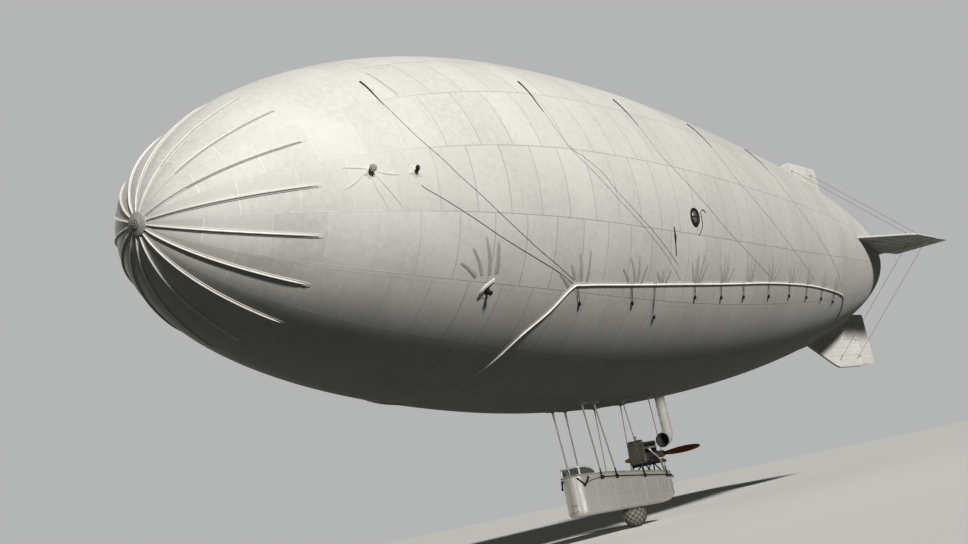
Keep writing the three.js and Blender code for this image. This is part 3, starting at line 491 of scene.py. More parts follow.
# one finish of each kind; sizes in millimetres on the model
dope = dopedCotton()
tapeCloth = mottled("doped tape cloth", "#cdcbc4", "#c7c5be", 0.65, 50, 0.3, Specular_IOR_Level=0.15)
finCloth = mottled("doped fin cloth", "#cfcdc6", "#b9b7b0", 0.55, 60, 0.3, fleck="#a9a7a0")
patchCloth = mottled("weathered patch cloth", "#b3b1aa", "#a2a09a", 0.7, 40, 0.4, fleck="#bbb9b2")
tarredCanvas = mottled("tarred canvas", "#55524c", "#3f3d38", 0.75, 20, 0.5, fleck="#6f6b64")
hubPaint = mottled("grey hub paint", "#9c9b97", "#878682", 0.5, 24, 0.3, fleck="#6a6965")
darkWood = mottled("tarred ash", "#4a433b", "#332e28", 0.5, 14, 0.4, (0.3, 1, 1))
whiteTape = woven("white cotton webbing", "#eeece5", "#c4c1b8", 6, "#d6d3ca")
battenPaint = mottled("white lacquered batten", "#dcdad3", "#cbc9c1", 0.4, 40, 0.3, (0.2, 1, 1),
                      fleck="#b5b1a6")
sleeveCanvas = woven("grey sleeve canvas", "#b3b0a7", "#7e7b73", 5, "#8e8b83")
ductCanvas = woven("white duct cloth", "#efede6", "#d9d6ce", 4, "#d9d6ce")
liningCloth = woven("rubberised lining cloth", "#6a6862", "#57554f", 4, "#5c5a54")
bumperCanvas = woven("bumper canvas", "#c9c5b8", "#938f85", 5, "#98948a")
tarredRope = laidRope("tarred hemp rope", "#5d5850", "#2e2a25", 8)
greyRope = laidRope("weathered hemp rope", "#c2bfb8", "#9c9993", 8)
paleRope = laidRope("hemp rope", "#d8d3c4", "#8f8a7c", 22)
steelRope = laidRope("galvanised wire rope", "#a9a8a3", "#5e5d59", 6)
gondolaPaint = mottled("aluminium paint", "#e6e4de", "#dad8d1", 0.5, 40, 0.2, (1, 1, 0.25), Metallic=0.45)
frameEnamel = mottled("white stove enamel", "#f6f4ee", "#eceae3", 0.25, 30, 0.1)
darkPaint = mottled("black enamelled steel", "#3d3d3d", "#282828", 0.42, 24, 0.3, fleck="#5a5754",
                    Metallic=0.3)
bareMetal = mottled("brushed aluminium", "#c3c3c0", "#a5a5a2", 0.35, 14, 0.2, (0.2, 1, 1), Metallic=1.0)
castMetal = mottled("cast aluminium", "#8f908e", "#6c6d6b", 0.55, 5, 0.5, fleck="#4b4a48", Metallic=0.9)
blackIron = mottled("blackened iron", "#4a4846", "#312f2d", 0.6, 6, 0.5, fleck="#6b5646", Metallic=0.6)
brassPlate = mottled("brass plate", "#c9ac70", "#9d8148", 0.3, 30, 0.2, fleck="#7b6437", Metallic=1.0)
domeMetal = mottled("spun aluminium", "#a9a7a2", "#85837f", 0.24, 20, 0.2, fleck="#565450", Metallic=0.7)
shellMetal = mottled("nickelled brass sheet", "#b3b0a8", "#96938b", 0.35, 24, 0.25, fleck="#7a766c",
                     Metallic=0.8)
copperPipe = mottled("annealed copper", "#a78167", "#7d5f4b", 0.35, 20, 0.2, Metallic=1.0)
exhaustSteel = mottled("heat-stained exhaust steel", "#e2dfd8", "#bdb7ac", 0.35, 22, 0.3, fleck="#7b7267",
                       Metallic=0.7)
varnish = mottled("varnished ash", "#a87a4d", "#7c5430", 0.3, 22, 0.4, (0.12, 1.5, 1.5), Coat_Weight=0.4)
planks = mottled("oiled pine planks", "#8f7350", "#6d543a", 0.6, 26, 0.5, (0.1, 1.5, 1.5), fleck="#5c4731")
hide = mottled("brown hide", "#5d4230", "#402c20", 0.5, 6, 0.6, fleck="#73563f", Specular_IOR_Level=0.4)
paleHide = mottled("cream hide", "#cfcabd", "#b5b0a2", 0.5, 6, 0.6, fleck="#8f8a7d", Specular_IOR_Level=0.4)
propellerAsh = laminatedAsh("#8a6040", "#43291a", 0.0125)
radiatorCore = honeycomb("#b5b0a2", "#57534b")
windowGlass = clearSheet("#dfe6e6")
print("finishes made")


# Envelope: the skin

def skinPoint(s, above, side):
    # between the battens the cloth bulges a little, so it draws in at each of them
    fade = min(1.0, s / 0.5) * max(0.0, min(1.0, skin["battenEnd"] + 0.5 - s))
    dip = skin["scallop"] * fade * (0.5 + 0.5 * cos(radians(above) * skin["battens"]))
    return hullPoint(s, above, -dip, side)


def mapSkin(piece):  # metres along the hull, and metres around it counted from a seam
    mesh = piece.data
    corners = mesh.uv_layers[0].uv
    for face in mesh.polygons:
        found = []
        for index in face.loop_indices:
            place = mesh.vertices[mesh.loops[index].vertex_index].co / shown
            s = liftStation - place.x
            up = place.z - axisAt(min(max(s, 0.0), hull["length"]))
            onAxis = hypot(place.y, up) <= 1e-3
            found.append((index, s, None if onAxis else degrees(atan2(up, abs(place.y)))))
        known = [angle for _, _, angle in found if angle is not None]
        for index, s, angle in found:
            angle = sum(known) / len(known) if angle is None else angle
            corners[index].vector = (s, (angle - skin["seamDegrees"]) / skin["stripDegrees"] * skin["strip"])


def envelope():
    rings = []
    for i in range(skin["rings"] + 1):
        s = hull["length"] * (1 - cos(pi * i / skin["rings"])) / 2
        around = [sideAngle(k, skin["columns"]) for k in range(skin["columns"])]
        rings.append([skinPoint(s, above, side) for side, above in around])
    piece = skinned(rings)
    mapSkin(piece)
    dress("gas_envelope", piece, dope, "doped_fabric", "envelope")


envelope()
print("envelope skinned")


# Nose: a domed hub with a mooring face, and lacquered battens in cloth pockets that run back from it

nose = {
    "centre": at(0, 0, axisAt(0)), "ahead": (1, 0, 0), "battenFrom": 0.014, "battenTo": 2.5, "steps": 26,
    "batten": [(-0.024, -0.012), (-0.022, 0.006), (-0.013, 0.026), (0.0, 0.032), (0.013, 0.026),
               (0.022, 0.006), (0.024, -0.012)],
    "pocket": [(-0.05, -0.012), (-0.047, 0.003), (0.0, 0.006), (0.047, 0.003), (0.05, -0.012)],
    "cone": [(0.25, -0.2), (0.25, 0.002), (0.24, 0.008), (0.19, 0.02), (0.13, 0.034), (0.11, 0.04)],
    "hub": [(0.115, -0.02), (0.115, 0.042), (0.108, 0.052), (0.085, 0.06), (0.05, 0.064), (0.048, 0.068),
            (0.036, 0.07), (0.022, 0.07), (0.018, 0.055)],
    "shadeCordFrom": 0.42,  # where the thicker cord, painted shade for the shadow line under the batten, starts on the battens above the side
}


def noseHub():
    cone = turned(nose["cone"], 64, nose["centre"], nose["ahead"])
    dress("nose_cone", cone, patchCloth, "doped_fabric", "nose_cap")
    bolt = turned([(0.008, 0.0), (0.008, 0.008), (0.005, 0.011)], 6)
    spots = [(nose["centre"] + Vector((0.057, 0.08 * y, 0.08 * z)) * shown, (1, 0.3 * y, 0.3 * z))
             for y, z in oval(1, 1, 8)]
    pieces = [turned(nose["hub"], 40, nose["centre"], nose["ahead"])] + copies(bolt, spots)
    dress("mooring_hub", pieces, hubPaint, "dark_metal")


def noseBattens():
    wood, cloth, lines = [], [], []
    start, end, steps = nose["battenFrom"], nose["battenTo"], nose["steps"]
    for side, above in (sideAngle(k, skin["battens"]) for k in range(skin["battens"])):
        route = [(start + (end - start) * (i / steps) ** 2, above) for i in range(steps + 1)]
        frames = framesOnHull(route, side)
        wood.append(swept(frames, nose["batten"], [0.35, 0.5, 0.65, 0.8] + [1.0] * 21 + [0.85, 0.4]))
        longer = route + [(end + 0.06, above), (end + 0.1, above)]
        cloth.append(swept(framesOnHull(longer, side), nose["pocket"],
                           [0.35, 0.5, 0.65, 0.8] + [1.0] * 23 + [0.8, 0.4]))
        # a cord along the lower edge of each batten, a lacing that stands mainly for the shadow line under
        # it: painted shade, thicker on the battens above the side
        high = 10 < above < 80
        path = [place + (across * (-0.026 if across.z > 0 else 0.026) + outward * 0.008) * shown
                for (place, across, outward), (s, _) in zip(frames, route)
                if s > (nose["shadeCordFrom"] if high else 0.1)]
        lines.append(pipe(path, 0.011 if high else 0.006, 6))
    dress("nose_battens_bare", wood, battenPaint, "white_webbing", "nose_battens")
    dress("batten_pockets", cloth, tapeCloth, "doped_fabric")
    dress("batten_shade_cords", lines, greyRope, "wire_rope")


noseHub()
noseBattens()
print("nose finished")


# Belts: a padded band along each side, sewn down on a strip of cloth

belt = {
    "half": 0.026, "rise": 0.034,
    "route": [  # station, and degrees below the side
        (8.6, 89.98), (8.42, 73.5), (8.55, 64), (8.85, 51.5), (9.45, 41.5), (9.98, 33.6), (10.5, 32.2),
        (12.5, 30.5), (15.1, 28.8), (18.5, 27.3), (22.1, 26.2), (26, 26.8), (29, 29.2), (31.3, 32.6),
        (32.2, 36.5), (33.0, 50), (33.4, 64), (33.6, 89.98)],
}


def beltDegrees(s):  # where the level part of the belt is, at a station
    route = belt["route"][5:14]
    for (s0, a0), (s1, a1) in zip(route, route[1:]):
        if s <= s1:
            return -(a0 + (a1 - a0) * (s - s0) / (s1 - s0))
    return -route[-1][1]


def belts():
    wide, tall = belt["half"], belt["rise"]
    section = [(-wide, -0.012), (-wide, 0.4 * tall), (-0.75 * wide, 0.8 * tall), (-0.3 * wide, tall),
               (0.3 * wide, tall), (0.75 * wide, 0.8 * tall), (wide, 0.4 * tall), (wide, -0.012)]
    strip = [(-2.9 * wide, -0.012), (-2.8 * wide, 0.003), (2.8 * wide, 0.003), (2.9 * wide, -0.012)]
    route = [(point.x, -point.y) for point in smoothed([(s, below, 0) for s, below in belt["route"]], 8)]
    for word, side in sides.items():
        frames = framesOnHull(route, side)
        band = dress(f"{word}_padded_belt", swept(frames, section), whiteTape, "white_webbing",
                     f"{word}_belt")
        dress(f"{word}_belt_strip", swept(frames, strip), tapeCloth, "doped_fabric")


belts()
print("belts laid")


# Patches: fans of cloth fingers above the belt, which spread the pull of a toggled rope below it

fans = {
    "half": 0.066, "thick": 0.004, "foot": 0.7,
    "drawn": [  # each finger's foot and tip: station, and degrees above the side
        [((6.56, -33.1), (6.02, -28.9)), ((6.72, -32.3), (6.3, -23.8)), ((6.95, -32.0), (6.66, -19.8)),
         ((7.16, -31.4), (7.05, -20.9))],
        [((9.83, -33.2), (9.38, -29.6)), ((9.99, -30.8), (9.72, -26.0)), ((10.25, -31.0), (10.03, -22.7)),
         ((10.5, -30.9), (10.43, -20.9))],
        [((12.38, -29.8), (11.98, -25.7)), ((12.66, -29.6), (12.26, -21.8)), ((12.8, -29.6), (12.68, -21.2)),
         ((12.98, -29.7), (13.14, -23.6))],
        [((13.98, -28.9), (13.7, -25.4)), ((14.1, -28.9), (14.02, -24.4)), ((14.26, -28.9), (14.47, -24.3))],
    ],
    "repeated": [16.07, 18.0, 19.95, 22.0, 24.1, 26.2, 28.3, 30.3],  # stations of the fans further aft
    "fingers": [(-0.42, 6.4), (-0.2, 8.9), (0.03, 9.8), (0.3, 9.0), (0.56, 6.4)],
    "toggles": [10.45, 12.8, 14.2, 16.2, 18.0, 19.75, 22.0, 24.1, 26.2, 28.3, 30.3],
    "hang": [5.6, 5.7, 10.6, 4.1, 4.5, 4.7, 5.0, 4.6, 5.2, 4.8, 5.0],  # degrees below the belt
    "toggle": [(0.012, -0.07), (0.022, -0.065), (0.034, -0.035), (0.026, -0.01), (0.026, 0.01), (0.034, 0.03),
               (0.02, 0.05), (0.012, 0.055)],
}


def fanFingers():
    found = list(fans["drawn"])
    for i, base in enumerate(fans["repeated"]):
        foot = beltDegrees(base) + fans["foot"]
        fan = []
        for j, (along, height) in enumerate(fans["fingers"]):
            tip = (base + along + 0.09 * sin(4.1 * i + 2.3 * j),
                   foot + height * (1 + 0.1 * sin(3 * i + 5 * j)))
            fan.append(((base + 0.45 * along, foot), tip))
        found.append(fan)
    return found


def fingerPiece(foot, tip, side, index):
    steps = 9
    route = []
    for i in range(steps + 1):
        t = i / steps
        bow = 0.1 * (tip[0] - foot[0]) * sin(pi * t)
        route.append((foot[0] + (tip[0] - foot[0]) * t - bow, foot[1] + (tip[1] - foot[1]) * t))
    half, thick = fans["half"], fans["thick"]
    section = [(-half, -0.004), (-0.85 * half, thick), (0.85 * half, thick), (half, -0.004)]
    grow = 0.95 + 0.12 * sin(index)
    sizes = [grow * (0.8 + 0.3 * sin(pi * min(1.0, 0.25 + i / steps))) for i in range(steps)]
    return swept(framesOnHull(route, side), section, sizes + [0.45 * grow])


def fingerFans():
    for word, side in sides.items():
        pieces = [fingerPiece(foot, tip, side, 3 * i + 5 * j) for i, fan in enumerate(fanFingers())
                  for j, (foot, tip) in enumerate(fan)]
        dress(f"{word}_finger_patches", pieces, patchCloth, "canvas")


def loosely(route, steps, side, radius):  # a thin cord through places given by station, angle and lift
    return pipe(smoothed([hullPoint(*spot, side) for spot in route], steps), radius, 6)


def beltToggles():
    for word, side in sides.items():
        pieces, ropes = [], []
        for s, hang in zip(fans["toggles"], fans["hang"]):
            head = s - 0.045 * hang  # each rope slants aft, so it looks upright from below
            belted = beltDegrees(head)
            above = beltDegrees(s) - hang
            place = hullPoint(s, above, 0.034, side)
            upward = (hullPoint(head, belted, 0.034, side) - place).normalized()
            pieces.append(turned(fans["toggle"], 14, place, upward))
            for end in (-0.05, 0.05):
                route = [(head + end, belted + 0.8, 0.004), (head + 0.7 * end, belted - 0.8, 0.03),
                         (s + 0.3 * (head - s), above + 1.2, 0.034), (s, above, 0.034)]
                ropes.append(loosely(route, 5, side, 0.006))
            tail = [(s, above, 0.034), (s + 0.05, above - 1.2, 0.03), (s + 0.08, above - 1.9, 0.008),
                    (s + 0.1, above - 2.4, 0.006)]
            ropes.append(loosely(tail, 4, side, 0.005))
        dress(f"{word}_toggles", pieces, darkWood, "varnished_wood")
        dress(f"{word}_beckets", ropes, tarredRope, "wire_rope")


fingerFans()
beltToggles()
print("patches and toggles sewn on")


# Ropes that lie on the flank, each from a dark strap high on the hull down to the belt

flank = {
    "routes": [  # station, and degrees above the side
        [(4.89, 45.6), (4.86, 41.1), (4.82, 36.4), (4.82, 32.2), (4.86, 28.0), (4.94, 22.6), (5.08, 17.0),
         (5.26, 12.3), (5.56, 6.7), (5.99, -0.3), (6.5, -6.3), (7.08, -12.2), (7.74, -17.7), (8.48, -22.8),
         (9.32, -27.4), (9.98, -31.0)],
        [(10.13, 39.9), (10.04, 34.0), (9.93, 28.0), (9.92, 23.5), (9.96, 18.5), (10.08, 13.5), (10.24, 9.9),
         (10.45, 7.4), (10.74, 4.5), (11.0, 2.1), (11.34, -1.1), (11.72, -4.3), (12.12, -7.3), (12.67, -10.9),
         (13.27, -14.8), (13.95, -19.1), (14.5, -23.0), (15.1, -27.4)],
        [(14.92, 40.6), (14.82, 36.5), (14.74, 32.5), (14.68, 27.2), (14.7, 20.4), (14.88, 14.6),
         (15.27, 10.2), (15.75, 6.2), (16.27, 2.3), (16.85, -1.8), (17.39, -5.2), (17.95, -8.4),
         (18.65, -11.5), (19.49, -14.9), (20.47, -18.7), (21.25, -21.6), (22.2, -25.0)],
        [(19.9, 41.0), (19.78, 35.0), (19.7, 28.0), (19.75, 20.5), (20.0, 14.0), (20.5, 9.0), (21.2, 4.0),
         (22.2, -2.0), (23.4, -8.5), (24.9, -15.5), (26.8, -24.0)],
        [(24.9, 41.0), (24.8, 34.0), (24.8, 26.0), (25.1, 17.0), (25.8, 8.5), (26.9, 0.0), (28.3, -9.0),
         (30.0, -19.0), (31.2, -28.0)],
    ],
    "twins": [
        [(10.18, 11.6), (10.35, 9.8), (10.62, 8.2), (10.97, 5.7), (11.31, 2.9), (11.6, -0.6), (12.04, -4.4),
         (12.69, -8.9), (13.43, -13.6), (14.16, -18.3), (14.8, -22.5)],
        [(5.41, 50.9), (5.4, 47.0), (5.38, 40.5), (5.42, 34.3)],
    ],
    "forward": [(4.87, -3.0), (4.98, -4.4), (5.33, -7.2), (5.87, -11.3), (6.45, -15.3), (7.09, -19.3),
                (7.78, -22.7), (8.53, -25.9), (9.25, -28.7), (9.95, -31.9)],
    "radius": 0.0065, "thin": 0.0045, "strapHalf": 0.022, "strapReach": 15.5,
}


def onFlank(route, steps=5):  # a smooth line through places on the skin
    return [(point.x, point.y) for point in smoothed([(s, above, 0) for s, above in route], steps)]


def laidOn(route, lift, side, radius, **settings):  # a cord that lies on the skin
    return pipe([hullPoint(s, above, lift, side) for s, above in onFlank(route)], radius, **settings)


def flankRopes():
    half = flank["strapHalf"]
    section = [(-half, -0.004), (-0.7 * half, 0.02), (0.7 * half, 0.02), (half, -0.004)]
    for word, side in sides.items():
        ropes, straps = [], []
        for route in flank["routes"]:
            radius = flank["radius"] if route is flank["routes"][0] else flank["thin"]
            line = onFlank(route)
            sizes = [1.1 - 0.5 * i / len(line) for i in range(len(line))]
            ropes.append(laidOn(route, 0.9 * radius, side, radius, count=6, sizes=sizes))
            dark = [spot for spot in line if spot[1] > line[0][1] - flank["strapReach"]]
            sizes = [1.15 - 0.75 * i / len(dark) for i in range(len(dark))]
            straps.append(swept(framesOnHull(dark, side), section, sizes))
        ropes.append(laidOn(flank["forward"], 0.006, side, flank["radius"], count=6))
        ropes += [laidOn(route, 0.004, side, flank["thin"], count=6) for route in flank["twins"]]
        dress(f"{word}_flank_ropes", ropes, greyRope, "wire_rope")
        dress(f"{word}_rope_straps", straps, tarredCanvas, "canvas")


flankRopes()


# Gas valve: a clamped ring with bolts, a sprung dome in it, and the cord that opens it

valve = {
    "place": (15.84, -6.4), "radius": 0.26, "bolts": 16,
    "ring": [(1, -0.08), (1, 0.02), (0.96, 0.036), (0.86, 0.04), (0.78, 0.034), (0.74, 0.012), (0.7, 0.008)],
    "dome": [(0.71, -0.02), (0.71, 0.014), (0.66, 0.03), (0.5, 0.052), (0.3, 0.066), (0.14, 0.07),
             (0.13, 0.082), (0.06, 0.086)],  # both in shares of the radius
    "cord": [(16.62, -4.2), (16.45, -3.4), (16.28, -4.6), (16.3, -8.4), (16.16, -10.8), (16.03, -12.3)],
    "line": [(14.5, -10.6), (14.54, -14.2), (14.64, -19.9)],
    "knots": [0.7, 0.9, 1, 1.3, 2.8, 3.0, 1.4, 1, 1, 0.9, 0.7],
}


def gasValves():
    r = valve["radius"]
    ring, dome = ([(share * r, z) for share, z in valve[part]] for part in ("ring", "dome"))
    for word, side in sides.items():
        bolt = turned([(0.011, 0.034), (0.011, 0.05), (0.007, 0.054)], 6)
        spots = [(Vector((x, y, 0)) * shown, (0, 0, 1)) for x, y in oval(0.89 * r, 0.89 * r, valve["bolts"])]
        pieces = [turned(ring, 56)] + copies(bolt, spots)
        for way in (Vector((1, 0, 0)), Vector((0, 1, 0))):  # two bars over the dome carry its spring
            bar = [(way * (0.8 * r * x) + Vector((0, 0, 0.034 + 0.06 * (1 - x * x)))) * shown
                   for x in (-1, -0.7, -0.3, 0, 0.3, 0.7, 1)]
            pieces.append(pipe(bar, 0.008, 8))
        spot = spotOn(valve["place"], side)
        dress(f"{word}_valve_ring", pieces, darkPaint, "dark_metal", f"{word}_gas_valve",
              stand=turnedTo(*spot))
        dress(f"{word}_valve_dome", turned(dome, 40, *spot), domeMetal, "cast_metal")
        cords = [laidOn(valve["cord"], 0.009, side, 0.009, count=6),
                 laidOn(valve["line"], 0.012, side, 0.011, count=8, sizes=valve["knots"])]
        dress(f"{word}_valve_cords", cords, tarredRope, "wire_rope")


gasValves()


# Tied sleeves: filling necks of the gas cells, gathered and bound with cord. The cloth round them is pulled
# into folds, the long ones up to the strap above.

sleeves = {
    "forward": {"place": (3.66, 3.0), "lean": (-0.1, -0.05), "girth": 0.82},
    "aft": {"place": (4.78, 1.8), "lean": (-0.02, -0.08), "girth": 0.55},
    "neck": [(0.19, -0.05), (0.15, -0.006), (0.11, 0.006), (0.072, 0.018), (0.045, 0.036), (0.032, 0.05),
             (0.028, 0.06)],
    "tuft": [(0.028, 0.06), (0.038, 0.072), (0.066, 0.09), (0.082, 0.112), (0.078, 0.134), (0.052, 0.152),
             (0.02, 0.162)],
    "folds": [  # routes of the pulled folds and their half widths
        ([(4.86, 27.5), (4.77, 22.0), (4.77, 16.2), (4.8, 11.0), (4.77, 5.4)], 0.028),
        ([(4.84, 27.0), (4.7, 20.0), (4.61, 13.2), (4.58, 8.6), (4.66, 4.4)], 0.025),
        ([(4.82, -0.4), (4.85, -4.5), (4.83, -9.0)], 0.02),
        ([(3.6, 4.6), (3.4, 5.3), (3.08, 6.2)], 0.022),
        ([(3.7, 1.6), (3.74, -2.2), (3.86, -6.5), (3.99, -11.0)], 0.026),
        ([(3.78, 1.9), (3.93, -1.6), (4.16, -6.6), (4.37, -11.1)], 0.024),
        ([(3.84, 3.0), (4.12, 1.6), (4.4, 1.2)], 0.02),
        ([(3.5, 2.2), (3.3, -0.6), (3.05, -3.2)], 0.02)],
}


def gathered(profile, depth, lean=(0, 0), pleats=9, count=72):
    # a cloth neck: rings of pleats that deepen towards its tie
    rings = []
    for radius, height in profile:
        share = max(0.0, height / profile[-1][1])
        ring = []
        for k in range(count):
            angle = 2 * pi * k / count
            wave = 1 + depth * min(1.0, 1.6 * share) * cos(pleats * angle + 0.6 * sin(2 * angle))
            if radius > 0.1:  # the pulled cloth has no round edge
                wave += 0.22 * cos(5 * angle + 1) + 0.14 * cos(3 * angle)
            ring.append(Vector((radius * wave * cos(angle) + lean[0] * share ** 2,
                                radius * wave * sin(angle) + lean[1] * share ** 2, height)) * shown)
        rings.append(ring)
    return skinned(rings, angle=60)


def tiedSleeves():
    for word, side in sides.items():
        ties, folds = [], []
        for place, cloth in (("forward", sleeveCanvas), ("aft", tarredCanvas)):
            sleeve = sleeves[place]
            stand = turnedTo(*spotOn(sleeve["place"], side))
            dress(f"{word}_{place}_neck", gathered(sleeves["neck"], 0.16), tapeCloth, "doped_fabric",
                  f"{word}_{place}_sleeve", stand=stand)
            rows = [(r * sleeve["girth"], z) for r, z in sleeves["tuft"]]
            dress(f"{word}_{place}_tuft", gathered(rows, 0.3, sleeve["lean"]), cloth, "canvas", stand=stand)
            turns = [Vector((0.037 * cos(k / 8 * pi), 0.037 * sin(k / 8 * pi),
                             0.052 + 0.018 * k / 64)) * shown
                     for k in range(65)]
            tie = pipe(turns, 0.006, 6)
            tie.data.transform(stand)
            ties.append(tie)
        for route, half in sleeves["folds"]:
            line = onFlank(route, 6)
            section = [(-2 * half, -0.01), (-1.2 * half, 0.001), (-0.35 * half, 0.017), (0.35 * half, 0.017),
                       (1.2 * half, 0.001), (2 * half, -0.01)]
            sizes = [0.35 + 0.65 * sin(pi * (i + 1) / (len(line) + 1)) for i in range(len(line))]
            folds.append(swept(framesOnHull(line, side, -0.002), section, sizes, angle=80))
        dress(f"{word}_sleeve_ties", ties, tarredRope, "wire_rope")
        dress(f"{word}_pulled_folds", folds, tapeCloth, "doped_fabric")


tiedSleeves()


# Line fitting: a base patch, a forged post, and a white strap that passes over it

fitting = {
    "place": (7.03, -37.3), "patch": [(0.2, -0.05), (0.19, 0.001), (0.16, 0.003), (0.11, 0.006)],
    "post": [(0.08, -0.02), (0.08, 0.012), (0.072, 0.02), (0.05, 0.03), (0.038, 0.05), (0.04, 0.1),
             (0.052, 0.112), (0.06, 0.12), (0.06, 0.134), (0.052, 0.14), (0.02, 0.14)],
    "strap": [(7.16, -33.4, 0.0), (7.02, -34.3, 0.04), (6.87, -35.7, 0.07), (6.8, -37.3, 0.07),
              (6.82, -38.7, 0.04), (6.87, -39.6, 0.0)],  # station, degrees above the side, and lift
    "section": [(-0.042, -0.006), (-0.036, 0.01), (0.036, 0.01), (0.042, -0.006)],
}


def lineFittings():
    for word, side in sides.items():
        spot = spotOn(fitting["place"], side)
        dress(f"{word}_line_patch", turned(fitting["patch"], 36, *spot), tapeCloth, "doped_fabric")
        post = turned(fitting["post"], 32, *spot)
        dress(f"{word}_line_post", post, blackIron, "dark_metal", f"{word}_line_fitting")
        points = smoothed(fitting["strap"], 5)
        frames = framesOnHull([(s, above) for s, above, _ in points], side)
        frames = [(place + outward * lift * shown, across, outward)
                  for (_, _, lift), (place, across, outward) in zip(points, frames)]
        dress(f"{word}_line_strap", swept(frames, fitting["section"]), whiteTape, "white_webbing")


lineFittings()
print("fittings of the skin made")


# Gondola: a smooth open hull, then its strips, rivets, rim and windscreen

gondola = {
    "sections": [  # station, half width, rim, bottom
        (14.30, 0.17, -6.76, -7.80), (14.33, 0.24, -6.76, -7.83), (14.38, 0.295, -6.76, -7.86),
        (14.50, 0.345, -6.77, -7.87), (15.10, 0.46, -6.80, -7.89), (15.80, 0.55, -6.85, -7.91),
        (16.60, 0.60, -6.92, -7.94), (18.40, 0.60, -7.07, -8.01), (19.20, 0.55, -7.14, -7.99),
        (19.65, 0.43, -7.19, -7.90), (19.90, 0.20, -7.21, -7.78)],
    "wall": 0.03, "chine": 0.14, "crown": 0.012, "bow": 0.045,
    "strip": [(-0.018, -0.006), (-0.015, 0.006), (-0.006, 0.011), (0.006, 0.011), (0.015, 0.006),
              (0.018, -0.006)],
    "rivet": [(0.007, 0.0), (0.0065, 0.003), (0.003, 0.005)],
    "joints": (14.95, 15.8, 16.65, 17.5, 18.35, 19.2),
}
gondolaLine = smoothed(gondola["sections"], 4)
bowHalf = gondolaLine[0][1]
upward = Vector((0, 0, 1))


def gondolaAt(s):  # half width, rim and bottom at a station
    i = 0
    while i + 2 < len(gondolaLine) and s > gondolaLine[i + 1][0]:
        i += 1
    before, after = gondolaLine[i], gondolaLine[i + 1]
    return before.lerp(after, (s - before[0]) / (after[0] - before[0]))[1:]


def bowAt(y):  # the station of the rounded bow, so far out from the middle
    return gondolaLine[0][0] - gondola["bow"] * (1 - (y / bowHalf) ** 2)


def besideHull(s, drop, out, side):  # a place at the gondola's side, below its rim and so far out of it
    half, rim, _ = gondolaAt(s)
    return at(s, side * (half + out), rim - drop)


def gondolaHull():
    ends = (0.0, 0.35, 0.65, 0.85, 0.95)
    first, last = gondolaLine[0], gondolaLine[-1]
    rows = [Vector((bowAt(w * first[1]), first[1] * w, *first[2:])) for w in ends] + gondolaLine
    rows += [Vector((last[0] + gondola["crown"] * (1 - w ** 2), last[1] * w, *last[2:]))
             for w in reversed(ends)]
    rings = []
    for s, half, rim, bottom in rows:
        chine = min(gondola["chine"], 0.7 * half)
        side = [(half, rim), (half, rim - 0.12), (half, rim - 0.4), (half, bottom + chine)]
        for i in range(1, 6):
            turn = pi / 2 * i / 6
            side.append((half - chine + chine * cos(turn), bottom + chine - chine * sin(turn)))
        side += [(half - chine, bottom), ((half - chine) / 2, bottom), (0, bottom)]
        rings.append([at(s, y, z) for y, z in side] + [at(s, -y, z) for y, z in reversed(side[:-1])])
    piece = skinned(rings, sheet=True, fill=False)
    applied(piece, "SOLIDIFY", thickness=gondola["wall"] * shown, offset=-1.0, use_even_offset=True)
    dress("gondola_shell", closed(piece, 30), gondolaPaint, "white_enamel", "gondola_hull")


def hullStrips():
    strip, pieces, spots = gondola["strip"], [], []
    for side in sides.values():
        for drop in (0.17, 0.62):
            path = [besideHull(14.4 + 5.2 * i / 40, drop, 0.0, side) for i in range(41)]
            frames = []
            for i, place in enumerate(path):
                along = (path[min(i + 1, 40)] - path[max(i - 1, 0)]).normalized()
                outward = upward.cross(along).normalized()
                outward = outward if outward.y * side > 0 else -outward
                frames.append((place, outward.cross(along), outward))
                if i % 2 == 0:
                    spots.append((place + outward * 0.009 * shown, outward))
            pieces.append(swept(frames, strip))
        for s in gondola["joints"]:
            _, rim, bottom = gondolaAt(s)
            outward = (besideHull(s + 0.05, 0, 0, side) - besideHull(s - 0.05, 0, 0, side)).cross(upward)
            outward = outward.normalized() if outward.y * side > 0 else -outward.normalized()
            drops = (0.19, 0.4, 0.6, 0.64, 0.8, rim - bottom - 0.145)
            frames = [(besideHull(s, drop, 0.0, side), outward.cross(-upward), outward) for drop in drops]
            pieces.append(swept(frames, [(x * 0.8, z * 0.55) for x, z in strip]))
            for i in range(9):
                place = besideHull(s, 0.24 + (rim - bottom - 0.46) * i / 8, 0.0, side)
                spots.append((place + outward * 0.004 * shown, outward))
    pieces += copies(turned(gondola["rivet"], 8), spots)
    dress("hull_strips", pieces, gondolaPaint, "white_enamel")


def paddedRim():
    inside = gondola["wall"] / 2
    stations = [14.38, 14.5, 15.1, 15.8, 16.6, 18.4, 19.2, 19.65]
    places = [(bowAt(0) + inside, 0.0), (bowAt(0.11) + inside, 0.105)]
    places += [(s, gondolaAt(s)[0] - inside) for s in stations]
    places += [(19.89 - inside, 0.12), (19.9 - inside, 0.0)]
    path = bothSides(smoothed([at(s, y, gondolaAt(s)[1] + 0.022) for s, y in places], 6), 1)
    sizes = [1.0 + (0.05 if i % 3 else -0.06) for i in range(len(path))]
    rim = dress("padded_rim", pipe(path, 0.028, 14, True, sizes), paleHide, "leather", "gondola_rim")


